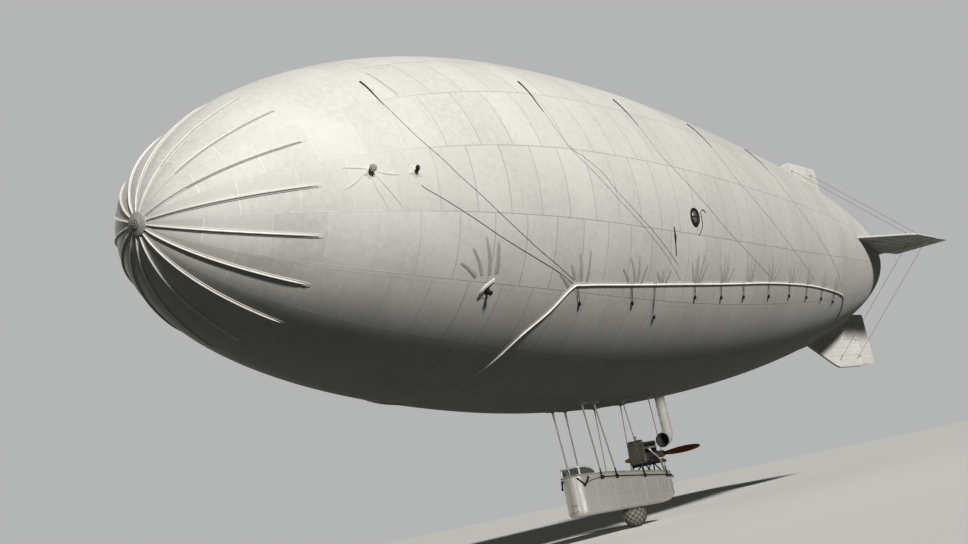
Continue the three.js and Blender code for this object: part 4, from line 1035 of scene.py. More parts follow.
def sternHandles():  # two bent tubes to carry the stern by
    tubes, feet = [], []
    for side in sides.values():
        bend = [besideHull(19.5, 0.2, -0.005, side), besideHull(19.52, 0.18, 0.08, side),
                at(19.76, side * 0.45, -7.3), at(19.96, side * 0.3, -7.33), at(19.99, side * 0.25, -7.48),
                at(19.86, side * 0.33, -7.56), besideHull(19.74, 0.38, -0.005, side)]
        tubes.append(pipe(smoothed(bend, 6), 0.02, 12))
        feet += [(bend[0], bend[1] - bend[0]), (bend[-1], bend[-2] - bend[-1])]
    foot = turned([(0.045, -0.01), (0.045, 0.008), (0.03, 0.016), (0.022, 0.03)], 20)
    dress("stern_handles", tubes + copies(foot, feet), gondolaPaint, "white_enamel")


def bowHatch():  # an inspection hatch, let into the rounded bow
    corners = [(-0.11, -7.54), (-0.11, -7.74), (0.11, -7.74), (0.11, -7.54)]
    route = [(a[0] + (b[0] - a[0]) * i / 6, a[1] + (b[1] - a[1]) * i / 6)
             for a, b in zip(corners, corners[1:] + corners[:1]) for i in range(6)]
    screws = [(at(bowAt(y), y, z), (1, 2 * gondola["bow"] * y / bowHalf ** 2, 0))
              for y in (-0.085, 0.085) for z in (-7.565, -7.715)]
    pieces = [pipe([at(bowAt(y), y, z) for y, z in route], 0.009, 8, loop=True)]
    pieces += copies(turned([(0.012, -0.002), (0.012, 0.006), (0.007, 0.009)], 8), screws)
    dress("hatch_frame", pieces, shellMetal, "dark_metal")


gondolaHull()
hullStrips()
paddedRim()
sternHandles()
bowHatch()
print("gondola hull made")


screen = {
    "half": 0.29, "top": -6.5, "corner": 14.44,
    "bar": [(-0.026, -0.016), (-0.016, -0.024), (0.016, -0.024), (0.026, -0.016), (0.026, 0.016),
            (0.016, 0.024), (-0.016, 0.024), (-0.026, 0.016)],
    "hoop": [(15.12, 0.45, -6.77), (14.95, 0.42, -6.62), (14.7, 0.36, -6.53), (14.44, 0.29, -6.5),
             (14.4, 0.16, -6.5), (14.39, 0, -6.5)],
    "plate": {"half": 0.28, "aft": 14.42, "low": -6.765, "high": -6.73, "inside": 0.015},
}


def bowPlate():  # closes the bow ahead of the windscreen
    plate = screen["plate"]
    rings = []
    for i in range(25):
        y = plate["half"] * (i / 12 - 1)
        edge = bowAt(y)
        for before, after in zip(gondolaLine, gondolaLine[1:6]):
            if before[1] <= abs(y) < after[1]:
                edge = before[0] + (after[0] - before[0]) * (abs(y) - before[1]) / (after[1] - before[1])
        front = edge + plate["inside"]
        corners = [(front, plate["low"]), (plate["aft"], plate["low"]), (plate["aft"], plate["high"]),
                   (front, plate["high"])]
        rings.append([at(s, y, z) for s, z in corners])
    dress("bow_plate", skinned(rings, angle=30), gondolaPaint, "white_enamel")


def windscreen():
    corner, half, top = screen["corner"], screen["half"], screen["top"]
    hoop = bothSides(smoothed([at(*place) for place in screen["hoop"]], 6))
    pieces = [swept(framesAlong(hoop), screen["bar"])]
    for side in sides.values():
        foot, head = at(corner, side * half, -6.78), at(corner, side * half, top)
        pieces.append(pipe([foot, foot.lerp(head, 0.5), head], 0.028, 12, sizes=[1.15, 1.0, 1.1]))
        sill = [besideHull(s, -0.045, -0.02, side) for s in (14.46, 14.7, 14.95, 15.12)]
        pieces.append(pipe(sill, 0.014, 8))
    pieces.append(pipe([at(14.38, y, -6.715) for y in (-half, -0.1, 0.1, half)], 0.014, 8))
    pieces.append(pipe([at(14.395, 0, z) for z in (-6.73, -6.6, top)], 0.011, 8))
    dress("screen_frame", pieces, frameEnamel, "white_enamel", "windscreen_frame")


bowPlate()
windscreen()
for name in ("front_pane", "port_pane", "starboard_pane"):
    finishNode(name, windowGlass)


# Cabin: floor planks, instrument board with dials, control stand with its wheel

cabin = {
    "dials": [(-0.24, 0.055), (-0.11, 0.045), (0.02, 0.06), (0.16, 0.05), (0.28, 0.04)],  # place and radius
    "column": [(15.25, 0.09, -7.778), (15.25, 0.085, -7.7), (15.26, 0.05, -7.5), (15.27, 0.036, -7.24)],
    "boss": [(0.05, -0.1), (0.055, -0.09), (0.055, 0.05), (0.04, 0.06), (0.03, 0.1), (0.02, 0.104)],
    "wheel": 0.19,
}


def instrumentBoard():
    low, high = (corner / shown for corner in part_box("instrument_board"))
    dress("dial_board", block(low, high, 0.008), varnish, "varnished_wood", "instrument_board")
    rims, faces = [], []
    for y, radius in cabin["dials"]:
        spot = Vector((low.x, y, (low.z + high.z) / 2 + 0.01)) * shown, (-1, 0, 0)
        bezel = [(radius, -0.01), (radius, 0.012), (radius * 0.93, 0.018), (radius * 0.86, 0.016),
                 (radius * 0.84, 0.006)]
        rims.append(turned(bezel, 28, *spot))
        faces.append(turned([(radius * 0.85, 0.002), (radius * 0.85, 0.0065), (radius * 0.1, 0.0068)],
                            28, *spot))
        hand = block((-0.004, -0.002, 0.0068), (0.004, radius * 0.7, 0.009))
        hand.data.transform(turnedTo(*spot))
        rims.append(hand)
    dress("dial_bezels", rims, brassPlate, "brass_metal")
    dress("dial_faces", faces, frameEnamel, "white_enamel")


def controlStand():
    hub, r = at(15.33, 0, -7.18), cabin["wheel"]
    rings = [[at(s + x * w, y * w * 0.55, z) for x, y in oval(1, 1, 16)] for s, w, z in cabin["column"]]
    pieces = [skinned(rings), turned(cabin["boss"], 24, at(15.27, 0, -7.18), (-1, 0, 0))]
    pieces.append(pipe([hub + Vector((0, y, z)) * shown for y, z in oval(r, r, 48)], 0.015, 10, loop=True))
    for i in range(6):
        turn = pi * (2 * i + 1) / 6
        way = Vector((0, cos(turn), sin(turn))) * shown
        pieces.append(pipe([hub + way * out for out in (0.03, 0.1, r, r + 0.045)], 0.009, 8,
                           sizes=[1.2, 0.8, 1.0, 1.25]))
    dress("steering_stand", pieces, varnish, "varnished_wood", "control_stand")


seats = {"front": (16.35, 0.42), "rear": (17.75, 0.46), "floor": -7.779}  # station and half width


def cushion(name, low, high, puffs, stand=None):
    # a pad sewn from hide: cut a little small, then blown up as cloth and drawn in along its channels
    low, high = Vector(low) * shown, Vector(high) * shown
    shrink = Vector((0.004, 0.004, 0.006))
    pad = block((low + shrink) / shown, (high - shrink) / shown, 0.02, 3)
    applied(pad, "REMESH", mode="VOXEL", voxel_size=0.006)
    cut = [vertex.co.copy() for vertex in pad.data.vertices]
    cloth = pad.modifiers.new("Cloth", "CLOTH")
    cloth.settings.use_pressure = True
    cloth.settings.uniform_pressure_force = 4
    cloth.settings.effector_weights.gravity = 0
    for step in range(1, 21):
        bpy.context.scene.frame_set(step)
    choose(pad)
    bpy.ops.object.modifier_apply(modifier=cloth.name)
    bpy.context.scene.frame_set(1)
    for vertex, old in zip(pad.data.vertices, cut):
        moved = vertex.co - old
        vertex.co = old + moved * min(1.0, 0.014 / max(moved.length, 1e-6))
    applied(pad, "SUBSURF", levels=1)
    middle = (low.z + high.z) / 2
    for vertex in pad.data.vertices:  # channels sewn into the upper face, and a slight unevenness
        place = (vertex.co.y - low.y) / (high.y - low.y) * puffs
        near = abs(place - round(place)) * (high.y - low.y) / puffs
        if vertex.co.z > middle and 0 < round(place) < puffs:
            vertex.co.z -= 0.009 * exp(-(near / 0.007) ** 2)
        vertex.co.z += 0.0012 * sin(60 * vertex.co.x) * sin(70 * vertex.co.y)
    dress(name, closed(pad, 70, fill=False), hide, "leather", stand=stand)


def benchSeats():
    floor = seats["floor"]
    for word in ("front", "rear"):
        s, half = seats[word]
        base = stationBlock((s - 0.4, s), (-half + 0.02, half - 0.02), (floor, floor + 0.3), 0.015)
        back = stationBlock((s + 0.04, s + 0.09), (-half + 0.01, half - 0.01),
                            (floor + 0.3, floor + 0.76), 0.015)
        dress(f"{word}_bench", [base, back], varnish, "varnished_wood", f"{word}_seat")
        x = liftStation - s
        cushion(f"{word}_seat_pad", (x, -half, floor + 0.3), (x + 0.42, half, floor + 0.4), 5)
        lean = Matrix.Translation(at(s + 0.04, 0, floor + 0.36)) @ Matrix.Rotation(radians(-97), 4, "Y")
        cushion(f"{word}_back_pad", (0, -half, 0), (0.44, half, 0.09), 5, lean)


instrumentBoard()
controlStand()
benchSeats()
finishNode("cabin_floor", planks)
finishNode("rear_deck", gondolaPaint)
print("cabin furnished")


# Suspension: a rail along each side on standoffs, eye plates, and ropes up to round patches on the belly

rigging = {
    "rail": 0.014, "drop": 0.1, "stand": 0.035, "out": 0.5, "from": 15.3, "to": 19.4, "spans": 30,
    "lines": [(15.25, 15.05, 0.02), (15.98, 15.75, 0.02)],  # hemp ropes: stations below and above, and radius
    "wires": [(17.6, 17.5, 0.01), (19.1, 19.2, 0.01)],
    "knob": [(0.02, -0.05), (0.04, -0.03), (0.045, 0.0), (0.04, 0.03), (0.02, 0.05)],
    "eye": [(0.02, -0.03), (0.036, -0.02), (0.036, 0.02), (0.02, 0.03)],
    "bolt": [(0.011, 0.0), (0.011, 0.007), (0.006, 0.009)],
    "bolts": ((-0.03, -0.035), (0.03, -0.035), (-0.03, 0.03), (0.03, 0.03)),
    "buckle": [(0.006, 0.03), (0.013, 0.06), (0.02, 0.08), (0.02, 0.24), (0.013, 0.26), (0.006, 0.29)],
    "patch": [(0.2, -0.05), (0.2, 0.004), (0.17, 0.011), (0.1, 0.014), (0.05, 0.022), (0.03, 0.05)],
}


def railFittings(side):
    drop, out, spans = rigging["drop"], rigging["stand"], rigging["spans"]
    stations = [rigging["from"] + (rigging["to"] - rigging["from"]) * i / spans for i in range(spans + 1)]
    rail = [besideHull(s, drop, out, side) for s in stations]
    metal = copies(turned(rigging["knob"], 16), [(end, (1, 0, 0)) for end in (rail[0], rail[5], rail[-1])])
    # a forged V at the corner, and a line from it to the rail
    eye = besideHull(14.46, 0.26, 0.04, side)
    for s in (14.33, 14.66):
        leg = [besideHull(s, 0.04, 0.0, side), besideHull(s, 0.08, 0.035, side), eye.lerp(rail[0], 0.02)]
        metal.append(pipe(smoothed(leg, 5), 0.022))
    lead = [eye, besideHull(14.75, 0.16, 0.02, side), besideHull(15.05, 0.12, 0.022, side), rail[0]]
    metal += [turned(rigging["eye"], 16, eye, (0.2, side, 0)), pipe(smoothed(lead, 5), 0.008, 8),
              pipe(rail, rigging["rail"])]
    for i in range(0, spans + 1, 5):
        foot = besideHull(stations[i], drop, -0.004, side)
        metal.append(pipe([foot, foot.lerp(rail[i], 0.5), rail[i]], 0.009, 8, sizes=[2.2, 1, 1]))
    return metal


def suspensionLine(low, high, radius, side, metal, patches):
    foot = besideHull(low, rigging["drop"], rigging["stand"], side)
    above = -degrees(asin(sqrt(1 - (rigging["out"] / radiusAt(high)) ** 2)))
    head = hullPoint(high, above, 0.05, side)
    up = (head - foot).normalized() * shown
    plate = block((-0.05, -0.008, -0.06), (0.05, 0.008, 0.06), 0.012)
    plate.data.transform(Matrix.Translation(foot + Vector((0, side * 0.004, 0)) * shown))
    spots = [(foot + Vector((x, side * 0.011, z)) * shown, (0, side, 0)) for x, z in rigging["bolts"]]
    metal.extend(copies(turned(rigging["bolt"], 6), spots) + [plate, turned(rigging["buckle"], 10, foot, up)])
    path = [foot, foot + up * 0.06, foot + up * 0.3, foot.lerp(head, 0.5), head - up * 0.34,
            head - up * 0.1, head]
    line = pipe(path, radius, sizes=[0.7, 0.7, 1, 1, 1, 1.4, 1.4])
    patches.append(turned(rigging["patch"], 28, *spotOn((high, above), side)))
    return line


def suspension():
    for word, side in sides.items():
        metal, patches = railFittings(side), []
        ropes, wires = ([suspensionLine(*line, side, metal, patches) for line in rigging[kind]]
                        for kind in ("lines", "wires"))
        dress(f"{word}_rail_fittings", metal, darkPaint, "dark_metal", f"{word}_suspension")
        dress(f"{word}_suspension_ropes", ropes, paleRope, "wire_rope")
        dress(f"{word}_suspension_wires", wires, steelRope, "wire_rope")
        dress(f"{word}_belly_patches", patches, patchCloth, "canvas")


suspension()
print("gondola slung")


# Engine on its frame, six cylinders in line; radiator ahead of it, exhaust on the port side

crank = -6.56
engine = {
    "from": 18.85, "to": 19.92, "half": 0.17, "low": crank - 0.19, "high": crank + 0.1,
    "first": 18.95, "pitch": 0.172, "cylinders": 6, "fins": 9,
    "head": [(0.06, 0.23), (0.07, 0.235), (0.07, 0.285), (0.055, 0.3)],
    "plug": [(0.014, 0.0), (0.014, 0.03), (0.008, 0.035), (0.008, 0.06)],
    "magneto": [(0.045, 0.0), (0.05, 0.01), (0.05, 0.11), (0.04, 0.13)],
    "carburettor": [(0.03, 0.0), (0.05, 0.02), (0.05, 0.1), (0.03, 0.12), (0.03, 0.18)],
    "shaft": [(0.05, 0.0), (0.05, 0.08), (0.085, 0.085), (0.085, 0.1), (0.05, 0.105), (0.05, 0.26)],
    "waterPipes": ((-0.02, -6.2, 0.12), (0.36, -6.16, -0.12)),  # above the crank, at the radiator, and aside
    "struts": ((18.6, 18.62, 0.42, -7.12), (19.15, 18.66, 0.42, -7.12), (19.15, 19.4, 0.36, -7.14),
               (19.75, 19.44, 0.36, -7.14)),  # stations above and below, and the foot's place
}
cylinderStations = [engine["first"] + engine["pitch"] * i for i in range(engine["cylinders"])]


def engineBody():
    start, end, half, low, high = (engine[key] for key in ("from", "to", "half", "low", "high"))
    alloy = [stationBlock((start, end), (-half, half), (crank - 0.05, high), 0.03, 3),
             stationBlock((start + 0.06, end - 0.06), (-0.12, 0.12), (low, crank - 0.04), 0.04, 3),
             stationBlock((start + 0.02, end - 0.04), (-0.05, 0.05), (crank + 0.38, crank + 0.45), 0.02, 3)]
    fins = [(0.07, 0.0), (0.07, 0.02)]
    for k in range(engine["fins"]):
        z = 0.035 + 0.02 * k
        fins += [(0.06, z), (0.077, z + 0.003), (0.077, z + 0.008), (0.06, z + 0.011)]
    iron = copies(turned(fins + engine["head"], 20),
                  [(at(s, 0, high - 0.005), (0, 0, 1)) for s in cylinderStations])
    for s in cylinderStations:
        alloy.append(stationBlock((s - 0.008, s + 0.008), (-0.172, 0.172),
                                  (crank - 0.03, high - 0.02), 0.004))
    for side in sides.values():
        feet = (side * half * 0.8, side * 0.26)
        alloy.append(stationBlock((start + 0.1, end - 0.1), feet, (low, low + 0.035), 0.01))
        iron += copies(turned(engine["plug"], 8),
                       [(at(s, side * 0.055, high + 0.265), (0, side, 0.35)) for s in cylinderStations])
        alloy += copies(turned([(0.012, 0.0), (0.012, 0.016)], 6),
                        [(at(s + 0.086, side * 0.135, high), (0, 0, 1)) for s in cylinderStations])
    alloy += [turned(engine["magneto"], 20, at(19.0, -0.13, crank + 0.2), (-0.2, -0.4, 1)),
              turned(engine["carburettor"], 20, at(19.35, -0.14, crank + 0.1), (0, -0.3, 1))]
    iron.append(turned(engine["shaft"], 24, at(end - 0.01, 0, crank), (-1, 0, 0)))
    dress("crankcase", alloy, castMetal, "cast_metal", "engine_block")
    dress("cylinders", iron, blackIron, "cast_metal")
    riser = [at(19.35, -0.19, crank + 0.27), at(19.35, -0.18, crank + 0.31), at(19.37, -0.11, crank + 0.33)]
    pipes = [pipe([at(19.0 + 0.78 * i / 12, -0.105, crank + 0.33) for i in range(13)], 0.03, 12),
             pipe(smoothed(riser, 4), 0.028, 12)]
    for up, high, y in engine["waterPipes"]:
        route = [at(18.66, y, high), at(18.74, y, high),
                 at(18.8, y * 0.9, crank + up), at(18.9, y * 0.8, crank + up)]
        pipes.append(pipe(smoothed(route, 5), 0.026, 12))
    dress("copper_pipes", pipes, copperPipe, "brass_metal")


def engineBearers():
    low, high = engine["low"] - 0.081, engine["low"] - 0.001
    pieces = [stationBlock((s - 0.03, s + 0.03), (-0.2, 0.2), (low + 0.012, high - 0.012), 0.01)
              for s in (18.56, 19.85)]
    feet = []
    for side in sides.values():
        y = side * 0.2
        pieces.append(stationBlock((18.5, 20.02), (y - 0.008, y + 0.008), (low + 0.01, high - 0.01)))
        for z in (low, high - 0.011):
            pieces.append(stationBlock((18.5, 20.02), (y - 0.035, y + 0.035), (z, z + 0.011), 0.004))
        for top, foot, out, z in engine["struts"]:
            head, base = at(top, y, (low + high) / 2), at(foot, side * out, z - 0.04)
            path = [head, head.lerp(base, 0.08), head.lerp(base, 0.5), head.lerp(base, 0.94), base]
            pieces.append(pipe(path, 0.018, 12, sizes=[1.3, 1.0, 1.05, 1.0, 1.3]))
            feet.append((at(foot, side * out, z - 0.026), (0, 0, 1)))
    pieces += copies(turned([(0.045, 0.0), (0.045, 0.008), (0.025, 0.014), (0.022, 0.03)], 16), feet)
    dress("bearers_and_struts", pieces, darkPaint, "dark_metal", "engine_frame")


tank = {
    "station": 18.62, "height": -6.12,
    "band": [(-0.012, -0.003), (0.012, -0.003), (0.012, 0.003), (-0.012, 0.003)],
    "header": [(0.085, -0.235), (0.09, -0.225), (0.09, 0.225), (0.085, 0.235)],
    "filler": [(0.026, 0.0), (0.026, 0.1), (0.042, 0.102), (0.042, 0.14), (0.034, 0.155), (0.012, 0.158)],
}


def radiator():
    s, z, low = tank["station"], tank["height"], engine["low"]
    deep = (s - 0.075, s + 0.075)
    shell = [stationBlock(deep, (y, y + 0.015), (low, -6.13), 0.004) for y in (-0.25, 0.235)]
    shell += [stationBlock(deep, (-0.25, 0.25), (low, low + 0.06), 0.012),
              turned(tank["header"], 28, at(s, 0, z), (0, 1, 0)),
              turned(tank["filler"], 24, at(s, 0.05, -6.06))]
    for y in (-0.15, 0.15):
        band = [at(s - 0.094 * sin(a), y, z + 0.094 * cos(a))
                for a in (pi * k / 16 * 1.1 - 0.1 for k in range(-15, 17))]
        shell.append(swept(framesAlong(band), tank["band"]))
    dress("radiator_shell", shell, shellMetal, "brass_metal", "radiator")
    core = stationBlock((s - 0.066, s + 0.066), (-0.236, 0.236), (low + 0.05, -6.14))
    dress("radiator_core", core, radiatorCore, "brass_metal")


def exhaust():
    z = -6.3
    header = [at(18.92 + 0.8 * i / 10, 0.105, z) for i in range(11)]
    pieces = [pipe(header, 0.04, 14, sizes=[0.7] + [1] * 9 + [0.7])]
    for s in cylinderStations:
        pieces.append(pipe([at(s, y, z) for y in (0.05, 0.075, 0.09)], 0.03, 12, sizes=[1.25, 1.0, 1.1]))
    bend = smoothed([at(18.97, 0.105, z), at(18.97, 0.24, -6.34), at(19.04, 0.3, -6.47),
                     at(19.28, 0.31, -6.62), at(19.46, 0.31, -6.79), at(19.54, 0.31, -7.0)], 7)
    lip = bend[-1] + (bend[-2] - bend[-1]).normalized() * 0.015
    pieces += [pipe(bend, 0.035, 18), pipe([bend[8], bend[8].lerp(bend[9], 0.5), bend[9]], 0.05, 18),
               pipe([lip, bend[-1]], 0.039, 18)]
    dress("exhaust_manifold", pieces, exhaustSteel, "cast_metal", "exhaust_pipe")


blades = {
    "station": 20.25, "radius": 1.35, "sheath": 0.004,
    "sections": [  # share of the radius, chord, thickness, pitch in degrees
        (0.02, 0.12, 0.10, 45), (0.12, 0.14, 0.085, 42), (0.3, 0.2, 0.05, 32), (0.55, 0.22, 0.032, 22),
        (0.8, 0.18, 0.022, 16), (0.95, 0.11, 0.014, 13), (1, 0.04, 0.008, 12)],
    "boss": [(0.1, -0.066), (0.108, -0.056), (0.11, 0.0), (0.108, 0.056), (0.1, 0.066)],
    "plate": [(0.095, 0.0), (0.095, 0.006), (0.09, 0.008), (0.03, 0.008)],
}


def bladeRings(centre, side, grown):  # leaf sections, fuller ahead of the middle and turned to their pitch
    rings = []
    for share, chord, thick, pitch in smoothed(blades["sections"], 5):
        turn = radians(pitch) * side
        ring = []
        for fore, full in oval(1, 1, 20):
            z = (chord + grown) / 2 * fore
            x = (thick + grown) / 2 * full * (1 + 0.18 * fore)
            ring.append(centre + Vector((x * cos(turn) - z * sin(turn), side * share * blades["radius"],
                                         x * sin(turn) + z * cos(turn))) * shown)
        rings.append(ring)
    return rings


def propellerPieces():
    centre = at(blades["station"], 0, crank)
    wood = [skinned(bladeRings(centre, side, 0), angle=50) for side in sides.values()]
    wood.append(turned(blades["boss"], 40, centre, (1, 0, 0)))
    metal = [skinned(bladeRings(centre, side, blades["sheath"])[-9:-1], angle=50) for side in sides.values()]
    for way in (1, -1):
        place = centre + Vector((way * 0.062, 0, 0)) * shown
        metal.append(turned(blades["plate"], 40, place, (way, 0, 0)))
        spots = [(place + Vector((0, y, z)) * shown, (way, 0, 0)) for y, z in oval(0.07, 0.07, 8)]
        metal += copies(turned([(0.012, 0.004), (0.012, 0.0075)], 6), spots)
    dress("propeller_blades", wood, propellerAsh, "varnished_wood", "propeller", body="propeller")
    dress("propeller_metal", metal, brassPlate, "brass_metal", body="propeller")


engineBody()
engineBearers()
radiator()
exhaust()
propellerPieces()
print("engine built")


# Air duct: a cloth tube held open by hoops, and below it an elbow whose round mouth faces forward

duct = {"station": 20.98, "radius": 0.165, "wall": 0.012, "bend": 0.3, "mouthStation": 20.5,
        "mouthHeight": -6.14, "mouth": 0.22, "top": -4.5, "lining": 0.004, "rows": 60, "hoopEvery": 12,
        "hoop": [(-0.004, -0.02), (0.004, -0.02), (0.004, 0.02), (-0.004, 0.02)]}


def ductRing(s, z, radius, turn=0.0, count=36):
    return [at(s - across * cos(turn), aside, z + across * sin(turn))
            for across, aside in oval(radius, radius, count)]


def ductShell(name, rows, wall, cloth, *rest):
    piece = skinned([ductRing(*row) for row in rows], fill=False, angle=60)
    applied(piece, "SOLIDIFY", thickness=wall * shown, offset=-1.0)
    dress(name, closed(piece, 50, fill=False), cloth, *rest)


def airDuct():
    s, r, top, bend, count = (duct[key] for key in ("station", "radius", "top", "bend", "rows"))
    knee = duct["mouthHeight"] + bend
    heights = [top + (knee - top) * i / count for i in range(count + 1)]
    rows = []
    for i, z in enumerate(heights):
        sag = -0.008 * sin(pi * (i % duct["hoopEvery"]) / duct["hoopEvery"]) + 0.003 * sin(1.7 * i)
        rows.append((s, z, r + sag * (0 < i < count)))
    ductShell("air_duct_sleeve", rows, duct["wall"], ductCanvas, "white_webbing", "air_duct")
    rows = []
    steps = 16
    for i in range(steps + 1):
        turn = pi / 2 * i / steps
        radius = r + 0.02 * i / steps + 0.004 * sin(2.6 * i) * (0 < i < steps)
        rows.append((s - bend * (1 - cos(turn)), knee - 0.0006 - bend * sin(turn), radius, turn))
    for share in (0.3, 0.6, 0.85, 1.0):
        forward = s - bend + (duct["mouthStation"] - s + bend) * share
        rows.append((forward, duct["mouthHeight"], r + 0.02 + 0.035 * share ** 1.5, pi / 2))
    ductShell("duct_elbow", rows, duct["wall"], ductCanvas, "white_webbing", "duct_scoop")
    inner = [(s, z, radius - duct["wall"] - 0.002, turn) for s, z, radius, turn in rows[4:]]
    ductShell("duct_lining", inner, duct["lining"], liningCloth, "canvas")
    bands = []
    for i in range(0, count + 1, duct["hoopEvery"]):
        if heights[i] < -4.9:
            circle = ductRing(s, heights[i] - (0.004 if i == count else 0.0), r + 0.002, 0.0, 40)
            bands.append(swept(framesAlong(circle, loop=True), duct["hoop"], loop=True))
    dress("duct_hoops", bands, whiteTape, "white_webbing")
    mouth = ductRing(duct["mouthStation"] + 0.006, duct["mouthHeight"], duct["mouth"] - 0.004, pi / 2, 48)
    dress("duct_mouth_ring", pipe(mouth, 0.016, loop=True), darkPaint, "dark_metal")


airDuct()
print("air duct sewn")


# Bumper: a stuffed canvas ball under the gondola, in a net of rope

bumper = {"station": 17.6, "long": 0.47, "wide": 0.31, "low": -8.53, "high": -7.95, "up": 0.34, "ropes": 12,
          "lean": 1.9, "netLow": -0.97, "netTall": 1.72}


def bumperBall():
    bottom, top = (corner.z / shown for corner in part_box("bumper"))
    centre = (bumper["low"] + bumper["high"]) / 2 + 0.05

    def onBall(x, y, z):  # from a place on a ball that is 1 m in radius
        height = centre + (bumper["up"] if z > 0 else centre - bottom) * z
        return Vector((liftStation - bumper["station"] + bumper["long"] * x,
                       bumper["wide"] * y, height)) * shown

    deselect()
    bpy.ops.mesh.primitive_uv_sphere_add(segments=120, ring_count=64, radius=1.0, location=(0, 0, 0))
    ball = bpy.context.object
    for vertex in ball.data.vertices:
        x, y, z = vertex.co
        along = bumper["lean"] * (z - bumper["netLow"]) / bumper["netTall"]
        cells = [abs(sin(6 * (atan2(y, x) + lean * along))) for lean in (1, -1)]
        lobes = 1 + 0.035 * (cells[0] * cells[1]) ** 0.6 * (1 - z ** 6)  # bulges between the crossing ropes
        vertex.co = onBall(x * lobes, y * lobes, z)
        vertex.co.z = max(bottom * shown, min(vertex.co.z, (top + 0.02) * shown))
    dress("bumper_ball", closed(ball, 60), bumperCanvas, "canvas", "bumper")
    net = []
    for lean in (1, -1):
        for i in range(bumper["ropes"]):
            points = []
            for k in range(25):
                z = bumper["netLow"] + bumper["netTall"] * k / 24
                around = 2 * pi * i / bumper["ropes"] + lean * bumper["lean"] * k / 24
                level = sqrt(1 - z * z) * 1.008
                points.append(onBall(level * cos(around), level * sin(around), z))
            net.append(pipe(points, 0.009, 6))
    dress("bumper_net", net, tarredRope, "wire_rope")


bumperBall()
print("bumper netted")


# Tail: cloth over ribs, so each surface sags a little between them; round leading edges

tail = {
    "hinge": 41.8, "outer": 4.7, "thick": 0.1, "leadRoot": 34.6, "leadTip": 38.7, "corner": 0.5, "gap": 0.016,
    "chord": 1.85, "nose": 0.05, "edge": 0.012, "inner": 2.3, "span": 4.65, "lugs": (2.75, 3.5, 4.25),
    "ribs": 0.36, "sag": 0.006, "lug": 0.034, "pin": 0.012, "notch": 0.033,
    "section": ((0, 0), (0.004, 0.5), (0.014, 0.8), (0.03, 0.96), (0.06, 1), (0.2, 1), (0.4, 1), (0.6, 1),
                (0.8, 1), (0.97, 1), (0.992, 0.96), (1, 0.75)),
    "tape": [(-0.018, -0.008), (-0.016, 0.003), (0.016, 0.003), (0.018, -0.008)],
    "fins": {"up": "upper_fin", "down": "lower_fin", "port": "port_stabiliser",
             "starboard": "starboard_stabiliser"},
    "moving": {"down": "rudder", "port": "port_elevator", "starboard": "starboard_elevator"},
    "stays": (39.0, 41.3),
    "stayEnd": [(0.012, -0.01), (0.02, 0.0), (0.02, 0.05), (0.012, 0.06), (0.016, 0.07), (0.016, 0.2),
                (0.01, 0.22)],
}
tailAxis = axisAt(tail["hinge"])
finEnd = tail["hinge"] - tail["nose"] - tail["gap"]
finRoot = radiusAt(tail["leadRoot"]) - 0.1


def tailPlace(s, out, thick, way):  # way: up, down, port or starboard
    out = out if way in ("up", "port") else -out
    return at(s, thick, tailAxis + out) if way in ("up", "down") else at(s, out, tailAxis + thick)


def finLead(out):  # the leading edge's station at a distance from the axis
    bend, lead, root = tail["outer"] - 0.16, tail["leadTip"] - tail["corner"], tail["leadRoot"]
    if out > bend:
        return lead + tail["corner"] * 1.3 * (out - bend) / 0.16
    return max(root, root + (lead - root) * (out - finRoot) / (bend - finRoot))


def ribbed(out):  # how far the cloth is drawn in: not at all on a rib, and fully between two
    return 1 - (abs(out / tail["ribs"] % 1 - 0.5) * 2) ** 4


def finSkin(way, node, end):
    rows = [1.2, 1.8, finRoot]
    out = finRoot
    while out < tail["outer"] - 0.17:
        out += 0.06
        rows.append(min(out, tail["outer"] - 0.16))
    rings = []
    for out in rows + [tail["outer"] - less for less in (0.12, 0.08, 0.04, 0.015, 0.0)]:
        lead = finLead(out)
        last = end - max(0.0, out - tail["outer"] + 0.125)
        edge = min(1.0, max(0.0, (tail["outer"] - out) / 0.06))
        half = tail["thick"] / 2 * (0.25 + 0.75 * edge ** 0.5)
        upper, lower = [], []
        for t, thick in tail["section"]:
            thick = half * thick - (tail["sag"] * ribbed(out) if 0.06 <= t <= 0.97 else 0.0)
            for face, points in ((1, upper), (-1, lower)):
                points.append(tailPlace(lead + (last - lead) * t, out, face * thick, way))
        rings.append(upper + lower[:0:-1])
    dress(f"{node}_skin", skinned(rings, angle=40), finCloth, "doped_fabric", node)


def controlRows():  # distances from the axis, and which of them are cut away round a lug
    edges = [tail["inner"]]
    for middle in tail["lugs"]:
        edges += [middle - tail["notch"], middle + tail["notch"]]
    edges.append(tail["span"])
    rows = []
    for i in range(0, len(edges), 2):
        start, end = edges[i], edges[i + 1]
        steps = max(2, round((end - start) / 0.06))
        rows += [(start + (end - start) * k / steps, False) for k in range(steps + 1)]
        if i + 2 < len(edges):
            rows += [(end, True), (edges[i + 2], True)]
    return rows


